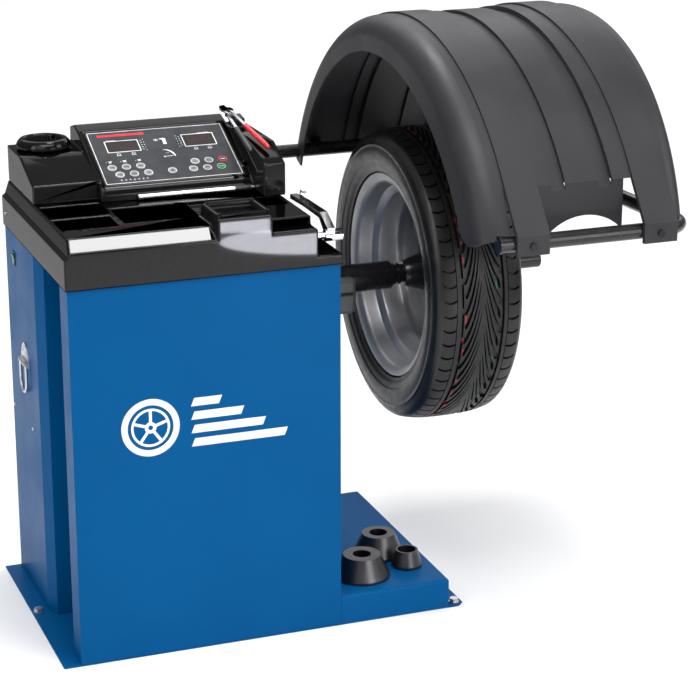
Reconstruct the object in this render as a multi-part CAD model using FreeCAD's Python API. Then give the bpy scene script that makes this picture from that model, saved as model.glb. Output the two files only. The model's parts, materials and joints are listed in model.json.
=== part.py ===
"""Motorised wheel balancer with wheel guard, distance gauge and a mounted wheel.

Every solid is modelled in the cabinet's own frame, in millimetres: the origin is the cabinet's
front left bottom corner, X runs right along the spindle, Y runs back and Z runs up.  The row
frame's origin is the middle of the base's footprint, so save() shifts each node by ROW_ORIGIN.
"""
import FreeCAD, Part

import math
import os

from FreeCAD import Vector

# ---------------------------------------------------------------- driving dimensions
CABINET_WIDTH = 560.0
CABINET_DEPTH = 550.0
CABINET_TOP = 791.0
SHEET = 2.0                       # steel sheet of the cabinet

FOOT = 36.0                       # width of the foot flange at each side
PLATE = 3.0                       # thickness of the base plate
PLATFORM_RIGHT = 807.6
PLATFORM_TOP = 65.6
BOLT_PLACES = ((-22.0, 285.0), (826.0, 20.0), (826.0, 530.0))
COVER_SCREWS = [(x, z) for x in (14.0, CABINET_WIDTH - 14.0) for z in (120.0, 370.0, 620.0)]
SIDE_SCREWS = ((525.0, 391.0), (357.0, 390.0))
TRAY_SCREW = (512.0, 822.0)       # y and z
SCREW_HOLE_R = 2.0
INLET = ((66.0, 94.0), (196.0, 220.0))
SWITCH_Y = (460.5, 479.5)
SWITCH_Z = (722.5, 747.5)
LIFT_RING = (-6.0, 402.0, 527.0)  # hinge of the lifting ring on the left side

RECESS_Y = (62.0, 256.0)          # storage recess in the left side
RECESS_DEPTH = 150.0
COLUMN_Y = 290.0                  # front edge of the flat rear column of the left side

SPINDLE_Y = 268.5
SPINDLE_Z = 674.6
SHAFT_R = 18.0
SHAFT_LEFT = 470.0
SHAFT_RIGHT = 1125.0
SEAT_R = 20.0                     # bearing seats on the shaft
HOUSING_R = 30.0
HOUSING_RIGHT = 773.0
BEARING_X = (590.0, 758.0)
BEARING_WIDTH = 7.0
FLANGE_FACE = 898.0               # where the wheel's disc bears on the hub flange
FLANGE_R = 80.0
PILOT_GROOVE = (1047.0, 1049.0)   # groove between the shaft's thread and its free end

CUP_X = (FLANGE_FACE + 20.2, 968.0)
NUT_X = (968.3, 1046.0)

WHEEL_X = 853.4                   # middle plane of the wheel
TYRE_R = 316.0
TREAD_HALF = 84.0
SECTION_HALF = 102.0
BEAD_R = 203.0
RIM_FLANGE_R = 220.5
RIM_HALF = 88.0
RIM_SHEET = 4.0
DISC_BORE = 33.3
WHEEL_SPOKES = 5

PLATE_X = (546.0, 558.0)          # steel plate that carries the spindle and the motor
MOTOR_Z = 474.6
MOTOR_FACE = 492.0
SPINDLE_PULLEY_R = 56.0
MOTOR_PULLEY_R = 14.0
PULLEY_X = (513.0, 531.0)
BELT = 3.0
RUN = 0.05                        # running clearance, on the radius

DECK = 885.0                      # top of the weight tray
TRAY_FRONT = -4.0
TRAY_RIM = 854.0
TRAY_BACK = 550.0
WALL = 4.0                        # moulded wall of the tray and the console
BINS = {
    "rear_left": ((20.0, 142.0), (202.0, 291.0)),
    "front_left": ((20.0, 134.0), (100.0, 184.0)),
    "middle": ((150.0, 290.0), (115.0, 235.0)),
    "right": ((456.0, 500.0), (150.0, 225.0)),
}
BIN_DEPTH = 46.0
HUMP_X = (304.0, 417.0)
HUMP_TOP = 914.0
CHANNEL_X = 512.0                 # left side of the channel that the gauge's arm lies in
CHANNEL_Z = 813.0
GAUGE_Y = 45.0
GAUGE_Z = 840.0
GAUGE_R = 7.0
ARM_X = (544.0, 560.0)
ARM_SHEET = 2.0

PANEL_LEFT = 161.0
PANEL_Y = 305.0                   # lower edge of the sloped control panel
PANEL_Z = 915.0
PANEL_TILT = 24.4
PANEL_WIDTH = 300.0
PANEL_LENGTH = 183.0
PANEL_SHEET = 2.0
KEY_R = 9.4
KEY_GAP = 0.4
KEY_PROUD = 0.8
KEY_TALL = 5.6
KEY_ROW_HIGH = 57.0
KEY_ROW_LOW = 32.5
KEY_PITCH = 30.5
KEY_PLACES = (
    [("key_mode_%d" % (i + 1), 28.5 + KEY_PITCH * i, KEY_ROW_HIGH) for i in range(3)]
    + [("key_step_%d" % (i + 1), 39.0 + KEY_PITCH * i, KEY_ROW_LOW) for i in range(3)]
    + [("key_centre", 151.5, KEY_ROW_LOW)]
    + [("key_side_%d" % (i + 1), 207.0 + 30.2 * i, KEY_ROW_HIGH) for i in range(2)]
    + [("key_stop", 267.5, KEY_ROW_HIGH)]
    + [("key_test_%d" % (i + 1), 197.0 + 30.2 * i, KEY_ROW_LOW) for i in range(2)]
    + [("key_start", 257.5, KEY_ROW_LOW)]
)
DISPLAYS = ((36.0, 102.0, 111.0, 144.0), (204.0, 268.0, 112.0, 148.0))

RING_X = 77.0
RING_Y = 487.0
BLOCK_TOP = 962.0                 # flat top of the console's left block

PLIERS_HEAD = Vector(474.5, 487, 1020)
PLIERS_END = Vector(477.6, 251.3, 975.2)
PLIERS_NOTCH = (470.0, 511.0)     # cut in the console's wing, where the grips lie
PLIERS_REST = ((476.0, 504.0), (432.0, 464.0))
REST_FOOT = 980.0                 # the rest stands on the wing's top, from a little below it
REST_GAP = 5.6                    # from the pliers' middle plane down to the rest
GRIP_GAP = 9.4                    # from the pliers' middle plane down to the notch

GUARD_Y = 93.5                    # axis of the guard's arch
GUARD_Z = 688.0
GUARD_R = 573.0
GUARD_LEFT = 676.0
GUARD_RIGHT = 1108.0              # right wall at the height GUARD_RIGHT_Z, leaning out above it
GUARD_RIGHT_Z = 968.0
GUARD_LEAN = 0.13
GUARD_SHOULDERS = (46.0, 34.0)    # rounding of the left and right shoulders
GUARD_ANGLES = (19.5, 154.8)      # from straight back, over the top, to the front
GUARD_SHEET = 4.0
WALL_SPLIT_R = 536.0              # the side walls are welded to the shell at this radius
LIP = (108.0, 702.0, 485.0)       # y, z and radius of the arch left open in the side walls
RAISED = ((741.0, 807.0, 4.0), (963.0, 1003.0, 3.0), (1003.0, 1072.0, 7.0))
SUNK = ((837.0, 867.0, 7.0), (935.0, 963.0, 7.0))
STRAPS = ((741.0, 807.0, 4.0), (1003.0, 1072.0, 7.0))
STRAP_FOLD = (-442.0, 940.0)      # y and z of the fold where a strap turns down over the tube
STRAP_END = 902.0
STRAP_FLANGE = 9.0
FRONT_OPENING = (738.0, 1074.0)   # cut out of the shell's front, below APRON_TOP
APRON_X = (803.0, 988.0)
APRON_TOP = 1016.0
APRON_BOTTOM = 914.0
ARCH = (910.0, 843.0, 108.0)      # x, z and radius of the arch in the apron
CORNER_X = 708.0                  # rounded lower corner beside the opening
CORNER_Z = 958.0
LEG_CLEARANCE = ((-500.0, 600.0), (-500.0, 942.0), (700.0, 902.0), (700.0, 600.0))
PIVOT_Y = 590.0
PIVOT_Z = 886.0
PIVOT_TUBE_LEFT = 412.0
TUBE_R = 15.0
TUBE_SHEET = 2.5
FRONT_TUBE = (-420.0, 922.0)      # y and z of the guard's front tube
FRONT_TUBE_LEFT = 716.0
SIDE_LEG_X = 1110.0
TUBE_BEND = 60.0
STRAP_SCREW_Z = 920.0
SADDLES_X = (731.0, 901.0)        # where the shell is screwed to the pivot tube
CAP_R = 17.0

ROW_ORIGIN = Vector((PLATFORM_RIGHT + 0.4) / 2, CABINET_DEPTH / 2, 0)
X_AXIS = Vector(1, 0, 0)
Y_AXIS = Vector(0, 1, 0)
Z_AXIS = Vector(0, 0, 1)


# ---------------------------------------------------------------- helpers
def save(name, *solids):
    """Writes the solids of one node, shifted to the row frame."""
    shape = solids[0] if len(solids) == 1 else Part.makeCompound(list(solids))
    shape = shape.copy()
    shape.translate(-ROW_ORIGIN)
    for solid in shape.Solids:
        assert solid.isValid(), name
    shape.exportStep(os.path.join("parts", name + ".step"))
    print("%-22s %3d solids  %10.1f cm3" % (name, len(shape.Solids), shape.Volume / 1000.0))


def block(x, y, z):
    """A box from (low, high) pairs."""
    return Part.makeBox(x[1] - x[0], y[1] - y[0], z[1] - z[0], Vector(x[0], y[0], z[0]))


def rod(start, axis, length, radius, bore=0.0):
    """A cylinder, or a tube when bore is given."""
    solid = Part.makeCylinder(radius, length, start, axis)
    if bore:
        solid = solid.cut(Part.makeCylinder(bore, length, start, axis))
    return solid


def rod_x(x, y, z, radius, bore=0.0):
    """A cylinder or tube along X, between the two values of x."""
    return rod(Vector(x[0], y, z), X_AXIS, x[1] - x[0], radius, bore)


def spindle_rod(x, radius, bore=0.0):
    return rod_x(x, SPINDLE_Y, SPINDLE_Z, radius, bore)


def polygon(points):
    return Part.Face(Part.makePolygon(list(points) + [points[0]]))


def prism_x(x, outline):
    """Extrudes an outline of (y, z) points between the two values of x."""
    return polygon([Vector(x[0], y, z) for y, z in outline]).extrude(Vector(x[1] - x[0], 0, 0))


def prism_y(y, outline):
    """Extrudes an outline of (x, z) points between the two values of y."""
    return polygon([Vector(x, y[0], z) for x, z in outline]).extrude(Vector(0, y[1] - y[0], 0))


def prism_z(z, outline):
    """Extrudes an outline of (x, y) points between the two values of z."""
    return polygon([Vector(x, y, z[0]) for x, y in outline]).extrude(Vector(0, 0, z[1] - z[0]))


def turned(outline, y=SPINDLE_Y, z=SPINDLE_Z, start=0.0, sweep=360.0):
    """Revolves an outline of (x, radius) points about the X line at y, z."""
    c, s = math.cos(math.radians(start)), math.sin(math.radians(start))
    face = polygon([Vector(x, y + r * c, z + r * s) for x, r in outline])
    return face.revolve(Vector(0, y, z), X_AXIS, sweep)


def turned_up(outline, x, y):
    """Revolves an outline of (radius, z) points about the vertical line at x, y."""
    face = polygon([Vector(x + r, y, z) for r, z in outline])
    return face.revolve(Vector(x, y, 0), Z_AXIS, 360)


def fuse(*solids):
    return solids[0].multiFuse(list(solids[1:])).removeSplitter()


def rounded(solid, radius, wanted):
    """Fillets the edges for which wanted(edge) is true."""
    edges = [e for e in solid.Edges if wanted(e)]
    return solid.makeFillet(radius, edges)


def upright(edge):
    """True for a straight vertical edge."""
    a, b = edge.firstVertex().Point, edge.lastVertex().Point
    return abs(a.x - b.x) < 1e-6 and abs(a.y - b.y) < 1e-6 and abs(a.z - b.z) > 1e-6


def hexagon_head(place, tall, across):
    """A hexagon bolt head standing on place."""
    r = across / math.sqrt(3.0)
    corners = [Vector(place.x + r * math.cos(math.radians(60 * i)),
                      place.y + r * math.sin(math.radians(60 * i)), place.z) for i in range(6)]
    return polygon(corners).extrude(Vector(0, 0, tall))


def screw(place, outward, head_r=4.0, head=2.4, shank_r=2.0, shank=4.0):
    """A pan head screw, with its head standing on place and its shank going the other way."""
    top = rod(place, outward, head, head_r)
    return fuse(top, rod(place - outward * shank, outward, shank + head / 2, shank_r))


def on_panel(u, v, above=0.0):
    """The point u right and v up the sloped panel, at a height above its face."""
    tilt = math.radians(PANEL_TILT)
    return Vector(PANEL_LEFT + u,
                  PANEL_Y + v * math.cos(tilt) - above * math.sin(tilt),
                  PANEL_Z + v * math.sin(tilt) + above * math.cos(tilt))


def panel_block(u, v, height):
    """A box on the sloped panel, from (low, high) pairs along, up and off its face."""
    corners = [on_panel(u[0], v[0], height[0]), on_panel(u[1], v[0], height[0]),
               on_panel(u[1], v[1], height[0]), on_panel(u[0], v[1], height[0])]
    return polygon(corners).extrude(panel_normal() * (height[1] - height[0]))


def panel_normal():
    tilt = math.radians(PANEL_TILT)
    return Vector(0, -math.sin(tilt), math.cos(tilt))


# ---------------------------------------------------------------- base and cabinet
def base_frame():
    left, right = -FOOT, PLATFORM_RIGHT + FOOT + 0.4
    plate = prism_z((0, PLATE), [(left, 0), (right - 14, 0), (right, 14), (right, CABINET_DEPTH - 14),
                                 (right - 14, CABINET_DEPTH), (left, CABINET_DEPTH)])
    platform = block((CABINET_WIDTH, PLATFORM_RIGHT), (0, CABINET_DEPTH), (PLATE, PLATFORM_TOP))

    def outer_edge(edge):
        point = edge.CenterOfMass
        on_top = abs(point.z - PLATFORM_TOP) < 1e-6 and point.x > CABINET_WIDTH + 1
        return on_top or (upright(edge) and point.x > CABINET_WIDTH + 1)

    platform = rounded(platform, 6.0, outer_edge)
    inside = block((CABINET_WIDTH, PLATFORM_RIGHT - 3), (3, CABINET_DEPTH - 3), (PLATE, PLATFORM_TOP - 3))
    frame = fuse(plate, platform.cut(inside))
    for x, y in BOLT_PLACES:
        frame = frame.cut(rod(Vector(x, y, -1), Z_AXIS, PLATE + 2, 6.5))
    save("base_frame", frame)


def cabinet_body():
    low, high = PLATE, CABINET_TOP
    width, back = CABINET_WIDTH, CABINET_DEPTH - 1.5
    y0, y1 = RECESS_Y
    inner = RECESS_DEPTH
    upright_outline = [
        (0, 0), (width, 0), (width, back), (width - 28, back), (width - 28, back - SHEET),
        (width - SHEET, back - SHEET), (width - SHEET, SHEET), (SHEET, SHEET), (SHEET, y0 - SHEET),
        (inner + SHEET, y0 - SHEET), (inner + SHEET, y1 + SHEET), (14, y1 + SHEET), (SHEET, COLUMN_Y),
        (SHEET, back - SHEET), (28, back - SHEET), (28, back), (0, back), (0, COLUMN_Y - 0.6),
        (13, y1), (inner, y1), (inner, y0), (0, y0)]
    body = prism_z((low, high), upright_outline)
    top = prism_z((high - SHEET, high), [
        (0, 0), (width, 0), (width, back), (0, back), (0, COLUMN_Y - 0.6), (13, y1), (inner, y1),
        (inner, y0), (0, y0)])
    top = top.cut(block((190, 530), (30, back - 30), (high - 10, high + 10)))
    sill = prism_z((low, low + SHEET), [(SHEET, back - 24), (width - SHEET, back - 24),
                                        (width - SHEET, back), (SHEET, back)])
    body = fuse(body, top, sill)
    body = body.cut(spindle_rod((width - 10, width + 10), HOUSING_R + 4))
    body = body.cut(block((-1, SHEET + 1), (SWITCH_Y[0], SWITCH_Y[1]), (SWITCH_Z[0], SWITCH_Z[1])))
    for x, z in COVER_SCREWS:
        body = body.cut(rod(Vector(x, back - 5, z), Y_AXIS, 10, SCREW_HOLE_R))
    for y, z in SIDE_SCREWS:
        body = body.cut(rod_x((-5, 5), y, z, SCREW_HOLE_R))
    save("cabinet_body", body)


def rear_cover():
    y = (CABINET_DEPTH - 1.5, CABINET_DEPTH)
    cover = block((3, CABINET_WIDTH - 3), y, (12, CABINET_TOP - 4))
    for i in range(8):
        z = 560 + 16 * i
        slot = block((170, 390), (y[0] - 1, y[1] + 1), (z, z + 5))
        cover = cover.cut(slot)
    for x, z in COVER_SCREWS:
        cover = cover.cut(rod(Vector(x, y[0] - 1, z), Y_AXIS, 4, SCREW_HOLE_R))
    cover = cover.cut(block(INLET[0], (y[0] - 1, y[1] + 1), INLET[1]))
    save("rear_cover", cover)


def mains_inlet():
    (x0, x1), (z0, z1) = INLET
    back = CABINET_DEPTH
    flange = block((x0 - 10, x1 + 10), (back, back + 2.5), (z0 - 4, z1 + 4))
    body = block((x0, x1), (back - 26, back + 2.5), (z0, z1))
    inlet = fuse(flange, body).cut(block((x0 + 2.5, x1 - 2.5), (back - 14, back + 4), (z0 + 3.5, z1 - 3.5)))
    pins = [block((x0 + 12.6 + 7 * i, x0 + 15.4 + 7 * i), (back - 16, back - 2), (z0 + 10, z0 + 14))
            for i in (-1, 0, 1)]
    save("mains_inlet", fuse(inlet, *pins))


def cabinet_fasteners():
    solids = []
    for x, y in BOLT_PLACES:
        washer = rod(Vector(x, y, PLATE), Z_AXIS, 1.8, 11)
        head = hexagon_head(Vector(x, y, PLATE + 1.8), 7.0, 17.0)
        shank = rod(Vector(x, y, 0.2), Z_AXIS, PLATE + 2, 6.4)
        solids.append(fuse(washer, head, shank))
    for x, z in COVER_SCREWS:
        solids.append(screw(Vector(x, CABINET_DEPTH, z), Y_AXIS))
    for y, z in SIDE_SCREWS:
        solids.append(screw(Vector(0, y, z), -X_AXIS))
    solids.append(screw(Vector(TRAY_FRONT, *TRAY_SCREW), -X_AXIS))
    for dy in (-48, 48):
        for dz in (-48, 48):
            solids.append(rod_x((MOTOR_FACE, PLATE_X[0]), SPINDLE_Y + dy, MOTOR_Z + dz, 5))
    save("cabinet_fasteners", *solids)


# ---------------------------------------------------------------- drive inside the cabinet
def housing_bracket():
    plate = block(PLATE_X, (SPINDLE_Y - 75, SPINDLE_Y + 75), (MOTOR_Z - 75, SPINDLE_Z + 75))
    box_y, box_z = (SPINDLE_Y - 52, SPINDLE_Y + 40), (SPINDLE_Z - 64, SPINDLE_Z + 14)
    box = block((CABINET_WIDTH, 678), box_y, box_z)
    box = rounded(box, 11.0, lambda e: e.CenterOfMass.x > CABINET_WIDTH + 1)
    neck = block((PLATE_X[1] - 1, CABINET_WIDTH + 1), (SPINDLE_Y - 24, SPINDLE_Y + 24),
                 (SPINDLE_Z - 24, SPINDLE_Z + 13))
    bracket = fuse(plate, neck, box).cut(spindle_rod((500, 700), HOUSING_R))
    slot = block((600, 690), (box_y[0] - 1, box_y[0] + 3), (SPINDLE_Z - 20, SPINDLE_Z - 17))
    save("housing_bracket", bracket.cut(slot))


def spindle_housing():
    left = PLATE_X[0] - 8
    profile = [(left, 26.0), (left, 44.0), (PLATE_X[0], 44.0), (PLATE_X[0], HOUSING_R),
               (HOUSING_RIGHT - 3, HOUSING_R), (HOUSING_RIGHT, HOUSING_R - 3), (HOUSING_RIGHT, 26.0)]
    save("spindle_housing", turned(profile))


def bearings():
    half = BEARING_WIDTH / 2
    outer = [spindle_rod((x - half, x + half), 26.0, 24.6) for x in BEARING_X]
    save("bearing_outer_rings", *outer)
    inner = []
    for x in BEARING_X:
        inner.append(spindle_rod((x - half, x + half), 21.4, SEAT_R))
        for i in range(14):
            a = 2 * math.pi * i / 14
            centre = Vector(x, SPINDLE_Y + 23.0 * math.cos(a), SPINDLE_Z + 23.0 * math.sin(a))
            inner.append(Part.makeSphere(1.55, centre))
    save("bearing_inner_rings", *inner)


def motor():
    y, z = SPINDLE_Y, MOTOR_Z
    body = rod_x((352, MOTOR_FACE - 8), y, z, 52)
    face = block((MOTOR_FACE - 8, MOTOR_FACE), (y - 58, y + 58), (z - 58, z + 58))
    fan_cover = rod_x((330, 352), y, z, 48)
    box = block((390, 460), (y - 30, y + 30), (z - 72, z - 45))
    shell = fuse(body, face, fan_cover, box)
    save("motor", shell.cut(rod_x((360, MOTOR_FACE + 1), y, z, 8 + RUN)))


def pulleys():
    x0, x1 = PULLEY_X
    lip = 3.0
    big, small = SPINDLE_PULLEY_R, MOTOR_PULLEY_R

    def pulley(radius, bore, y, z):
        outline = [(x0 - lip, bore), (x0 - lip, radius + 2), (x0, radius + 2), (x0, radius),
                   (x1, radius), (x1, radius + 2), (x1 + lip, radius + 2), (x1 + lip, bore)]
        return turned(outline, y, z)

    save("spindle_pulley", pulley(big, SHAFT_R, SPINDLE_Y, SPINDLE_Z))
    shaft = rod_x((362, x1 + lip), SPINDLE_Y, MOTOR_Z, 8)
    save("motor_pulley", fuse(pulley(small, 7.9, SPINDLE_Y, MOTOR_Z), shaft))

    def loop(extra):
        """The face inside a belt line that clears both pulleys by extra."""
        ra, rb = big + extra, small + extra
        lean = math.asin((ra - rb) / (SPINDLE_Z - MOTOR_Z))

        def at(radius, z, angle):
            return Vector(x0 + 1, SPINDLE_Y + radius * math.cos(angle), z + radius * math.sin(angle))

        a, b = at(ra, SPINDLE_Z, -lean), at(ra, SPINDLE_Z, math.pi + lean)
        c, d = at(rb, MOTOR_Z, math.pi + lean), at(rb, MOTOR_Z, -lean)
        edges = [Part.Arc(a, at(ra, SPINDLE_Z, math.pi / 2), b).toShape(),
                 Part.LineSegment(b, c).toShape(),
                 Part.Arc(c, at(rb, MOTOR_Z, -math.pi / 2), d).toShape(),
                 Part.LineSegment(d, a).toShape()]
        return Part.Face(Part.Wire(edges))

    depth = Vector(x1 - x0 - 2, 0, 0)
    save("drive_belt", loop(RUN + BELT).extrude(depth).cut(loop(RUN).extrude(depth)))


def sensors():
    y, z = SPINDLE_Y, SPINDLE_Z
    pads = [rod(Vector(PLATE_X[0] - 4, y + 44, z), Y_AXIS, 14, 3.5),
            rod(Vector(PLATE_X[0] - 4, y, z - 44 - 14), Z_AXIS, 14, 3.5)]
    save("encoder_disc", spindle_rod((480, 481.2), 44, SHAFT_R))
    fork = block((472, 489), (y - 9, y + 9), (z - 62, z - 36))
    fork = fork.cut(block((478, 483.5), (y - 20, y + 20), (z - 56, z - 30)))
    stem = block((489, PLATE_X[0]), (y - 5, y + 5), (z - 70, z - 64))
    foot = block((472, 489), (y - 9, y + 9), (z - 70, z - 61))
    save("sensors", fuse(fork, foot, stem), *pads)


def main_board():
    """The power board on the recess's inner wall."""
    x = RECESS_DEPTH + SHEET
    board = block((x + 8, x + 9.6), (80, 240), (480, 700))
    posts = [block((x, x + 8.4), (y, y + 6), (z, z + 6)) for y in (84, 230) for z in (484, 690)]
    transformer = block((x + 9.6, x + 50), (100, 160), (500, 556))
    sink = block((x + 9.6, x + 34), (180, 226), (500, 580))
    chips = [block((x + 9.6, x + 13), (100 + 34 * i, 122 + 34 * i), (620, 642)) for i in range(4)]
    return fuse(board, transformer, sink, *posts, *chips)


# ---------------------------------------------------------------- spindle and wheel
def spindle_shaft():
    x0, x1 = BEARING_X[0] - 12, BEARING_X[1] + 8
    g0, g1 = PILOT_GROOVE
    outline = [(SHAFT_LEFT, 0), (SHAFT_LEFT, SHAFT_R), (x0, SHAFT_R), (x0, SEAT_R), (x1, SEAT_R),
               (x1, 23.0), (781, 23.0), (781, 20.0), (786, 20.0), (786, 23.0), (792, 23.0), (792, 20.0),
               (801, 20.0), (801, SHAFT_R), (g0, SHAFT_R), (g0, SHAFT_R - 1), (g1, SHAFT_R - 1),
               (g1, SHAFT_R), (SHAFT_RIGHT - 2, SHAFT_R), (SHAFT_RIGHT, SHAFT_R - 2), (SHAFT_RIGHT, 0)]
    save("spindle_shaft", turned(outline))


def hub_flange():
    face = FLANGE_FACE
    outline = [(801, SHAFT_R), (801, 26), (812, 30), (826, 34), (846, 40), (866, FLANGE_R - 6),
               (870, FLANGE_R), (face, FLANGE_R), (face, FLANGE_R - 14), (face - 22, FLANGE_R - 16),
               (face - 35, 34), (face - 35, SHAFT_R)]
    save("hub_flange", turned(outline))


def centring_cone():
    face = FLANGE_FACE
    back, front = face - 20, face + 12
    big, small = 38.0, 28.0
    outline = [(back, SHAFT_R + RUN), (back, big), (back + 6, big), (front, small),
               (front, SHAFT_R + RUN)]
    save("centring_cone", turned(outline))
    wire = 1.6
    turns, length, radius = 1.75, 11.2, 26.0
    helix = Part.makeHelix(length / turns, length, radius)
    start = Vector(radius, 0, 0)
    circle = Part.Wire(Part.makeCircle(wire, start, Vector(0, 1, 0)))
    spring = helix.makePipeShell([circle], True, True)
    spring.rotate(Vector(0, 0, 0), Y_AXIS, 90)
    spring.translate(Vector(back - wire - length - 0.2, SPINDLE_Y, SPINDLE_Z))
    save("cone_spring", spring)


def barrel_inside(x):
    """The barrel's inner radius where the disc is welded into it."""
    seat = BEAD_R - 0.5 - RIM_SHEET
    return seat - 4 + 3 * (x - WHEEL_X - 24) / (RIM_HALF - 33)


def wheel_barrel():
    c, w = WHEEL_X, RIM_HALF
    t = RIM_SHEET
    seat, well = BEAD_R - 0.5, BEAD_R - 24
    outline = [(c - w, RIM_FLANGE_R), (c - w + 6, RIM_FLANGE_R), (c - w + 8, seat + 3),
               (c - w + 12, seat), (c - 46, seat - 4), (c - 34, well), (c + 6, well),
               (c + 22, seat - 4), (c + w - 12, seat), (c + w - 8, seat + 3), (c + w - 6, RIM_FLANGE_R),
               (c + w, RIM_FLANGE_R), (c + w, seat - 2), (c + w - 9, seat - t - 1), (c + 24, seat - t - 4),
               (c + 8, well - t), (c - 34 - t, well - t), (c - 46 - t, seat - t - 4),
               (c - w + 9, seat - t - 1), (c - w, seat - 2)]
    save("wheel_barrel", turned(outline))


def wheel_disc():
    face = FLANGE_FACE
    inner, outer = face + 6, face + 32
    disc = turned([(face, DISC_BORE), (face, 82), (face - 4, 98), (face + 10, 150),
                   (inner, barrel_inside(inner)), (outer, barrel_inside(outer)), (face + 26, 150),
                   (face + 16, 92), (face + 20, 60), (face + 20, DISC_BORE)])
    for i in range(WHEEL_SPOKES):
        a = math.radians(72 * i + 54)
        centre = Vector(face - 20, SPINDLE_Y + 140 * math.cos(a), SPINDLE_Z + 140 * math.sin(a))
        disc = disc.cut(rod(centre, X_AXIS, 80, 36))
        b = math.radians(72 * i + 90)
        hole = Vector(face - 20, SPINDLE_Y + 56 * math.cos(b), SPINDLE_Z + 56 * math.sin(b))
        disc = disc.cut(rod(hole, X_AXIS, 80, 7.5))
    save("wheel_disc", disc)


def tyre():
    c = WHEEL_X
    bead = RIM_HALF - 9
    half = [(bead - 14, BEAD_R), (bead - 4, BEAD_R), (bead + 0.6, BEAD_R + 3),
            (bead + 2.5, RIM_FLANGE_R + 0.6), (bead + 11, RIM_FLANGE_R + 2),
            (SECTION_HALF - 3, 240), (SECTION_HALF, 262), (SECTION_HALF - 3, 282), (93, 299),
            (TREAD_HALF, 308), (70, 312.5), (40, 315.2), (0, TYRE_R)]
    inner = [(0, TYRE_R - 16), (60, TYRE_R - 18), (80, TYRE_R - 26), (90, 262), (84, 236), (bead - 14, 222)]
    outline = [(c + x, r) for x, r in half] + [(c - x, r) for x, r in reversed(half[:-1])]
    outline += [(c - x, r) for x, r in reversed(inner)] + [(c + x, r) for x, r in inner[1:]]
    save("tyre", turned(outline))


def clamping_nut():
    x0, x1 = CUP_X
    cup = turned([(x0, 44), (x0, 50), (x1 - 16, 56), (x1 - 4, 50), (x1, 44), (x1, SHAFT_R + RUN),
                  (x1 - 10, SHAFT_R + RUN), (x1 - 10, 44)])
    save("pressure_cup", cup)
    n0, n1 = NUT_X
    nut = turned([(n0, SHAFT_R + RUN), (n0, 44), (n0 + 8, 46), (n0 + 30, 34), (n1 - 10, 30),
                  (n1, 26), (n1, SHAFT_R + RUN)])
    arms = []
    for side in (-1, 1):
        lean = math.radians(-97)
        out = Vector(0.24, side * math.cos(lean), side * math.sin(lean))
        out.normalize()
        start = Vector(n0 + 38, SPINDLE_Y, SPINDLE_Z) + out * 26
        arms.append(rod(start, out, 76, 9))
        arms.append(rod(start + out * 66, out, 34, 13))
    save("quick_nut", rounded_ends(fuse(nut, *arms)))


def rounded_ends(solid):
    """Rounds the outer end of each handle grip."""
    def tip(edge):
        far = abs(edge.CenterOfMass.z - SPINDLE_Z) > 110
        return far and edge.Length > 60
    return rounded(solid, 6.0, tip)


# ---------------------------------------------------------------- tray and console
def tray_outside(inset):
    """The tray's outer form, or its hollow when inset by the wall."""
    i = inset
    front, right = TRAY_FRONT + i, CABINET_WIDTH + 4 - i
    left, back = TRAY_FRONT + i, TRAY_BACK - i
    floor = CABINET_TOP
    across = [(left, floor), (left, TRAY_RIM - i), (2 + i, TRAY_RIM + 2 - i), (12 + i, DECK - i),
              (right, DECK - i), (right, floor)]
    along = [(front, floor), (front, 865 - i), (35, DECK - i), (back, DECK - i), (back, floor)]
    hull = prism_y((front - 1, back + 1), across).common(prism_x((left - 1, right + 1), along))
    hump = prism_x((HUMP_X[0] + i, HUMP_X[1] - i), [(front, 820), (front, 904 - i), (12, HUMP_TOP - i),
                                                   (104, HUMP_TOP - i), (118 - i, DECK - i - 1),
                                                   (118 - i, 820)])
    ledge = block((HUMP_X[1] - i, 600), (front - 10, 42 - i), (868 - i, 990))
    channel = block((CHANNEL_X - i, 700), (-50, 700), (CHANNEL_Z - i, 990))
    return hull.cut(ledge).fuse(hump).cut(channel).removeSplitter()


def weight_tray():
    shell = tray_outside(0).cut(tray_outside(WALL))
    for (x0, x1), (y0, y1) in BINS.values():
        well = block((x0 - 3, x1 + 3), (y0 - 3, y1 + 3), (DECK - BIN_DEPTH - 3, DECK - 1))
        shell = shell.fuse(well)
    trough = ((HUMP_X[0] - 12, HUMP_X[0] - 3), (44, 232))
    shell = shell.fuse(block((trough[0][0] - 3, trough[0][1] + 3), (trough[1][0] - 3, trough[1][1] + 3),
                             (DECK - 33, DECK - 1)))
    shell = shell.fuse(block((300, 306), (GAUGE_Y - 16, GAUGE_Y + 16), (GAUGE_Z - 16, DECK - 2)))
    shell = shell.fuse(block((CHANNEL_X - 16, CHANNEL_X), (GAUGE_Y - 14, GAUGE_Y + 14),
                             (GAUGE_Z - 14, GAUGE_Z + 14)))
    for (x0, x1), (y0, y1) in BINS.values():
        shell = shell.cut(block((x0, x1), (y0, y1), (DECK - BIN_DEPTH, DECK + 1)))
    shell = shell.cut(block(trough[0], trough[1], (DECK - 30, DECK + 1)))
    dish = block((315, 406), (12, 104), (HUMP_TOP - 14, HUMP_TOP + 1))
    floor = block((312, 409), (9, 107), (HUMP_TOP - 17, HUMP_TOP - 1))
    shell = shell.fuse(floor).cut(dish)
    shell = shell.cut(rod_x((280, 560), GAUGE_Y, GAUGE_Z, GAUGE_R + RUN))
    shell = shell.cut(rod_x((-10, 10), TRAY_SCREW[0], TRAY_SCREW[1], SCREW_HOLE_R))
    save("weight_tray", shell.removeSplitter())


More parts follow.
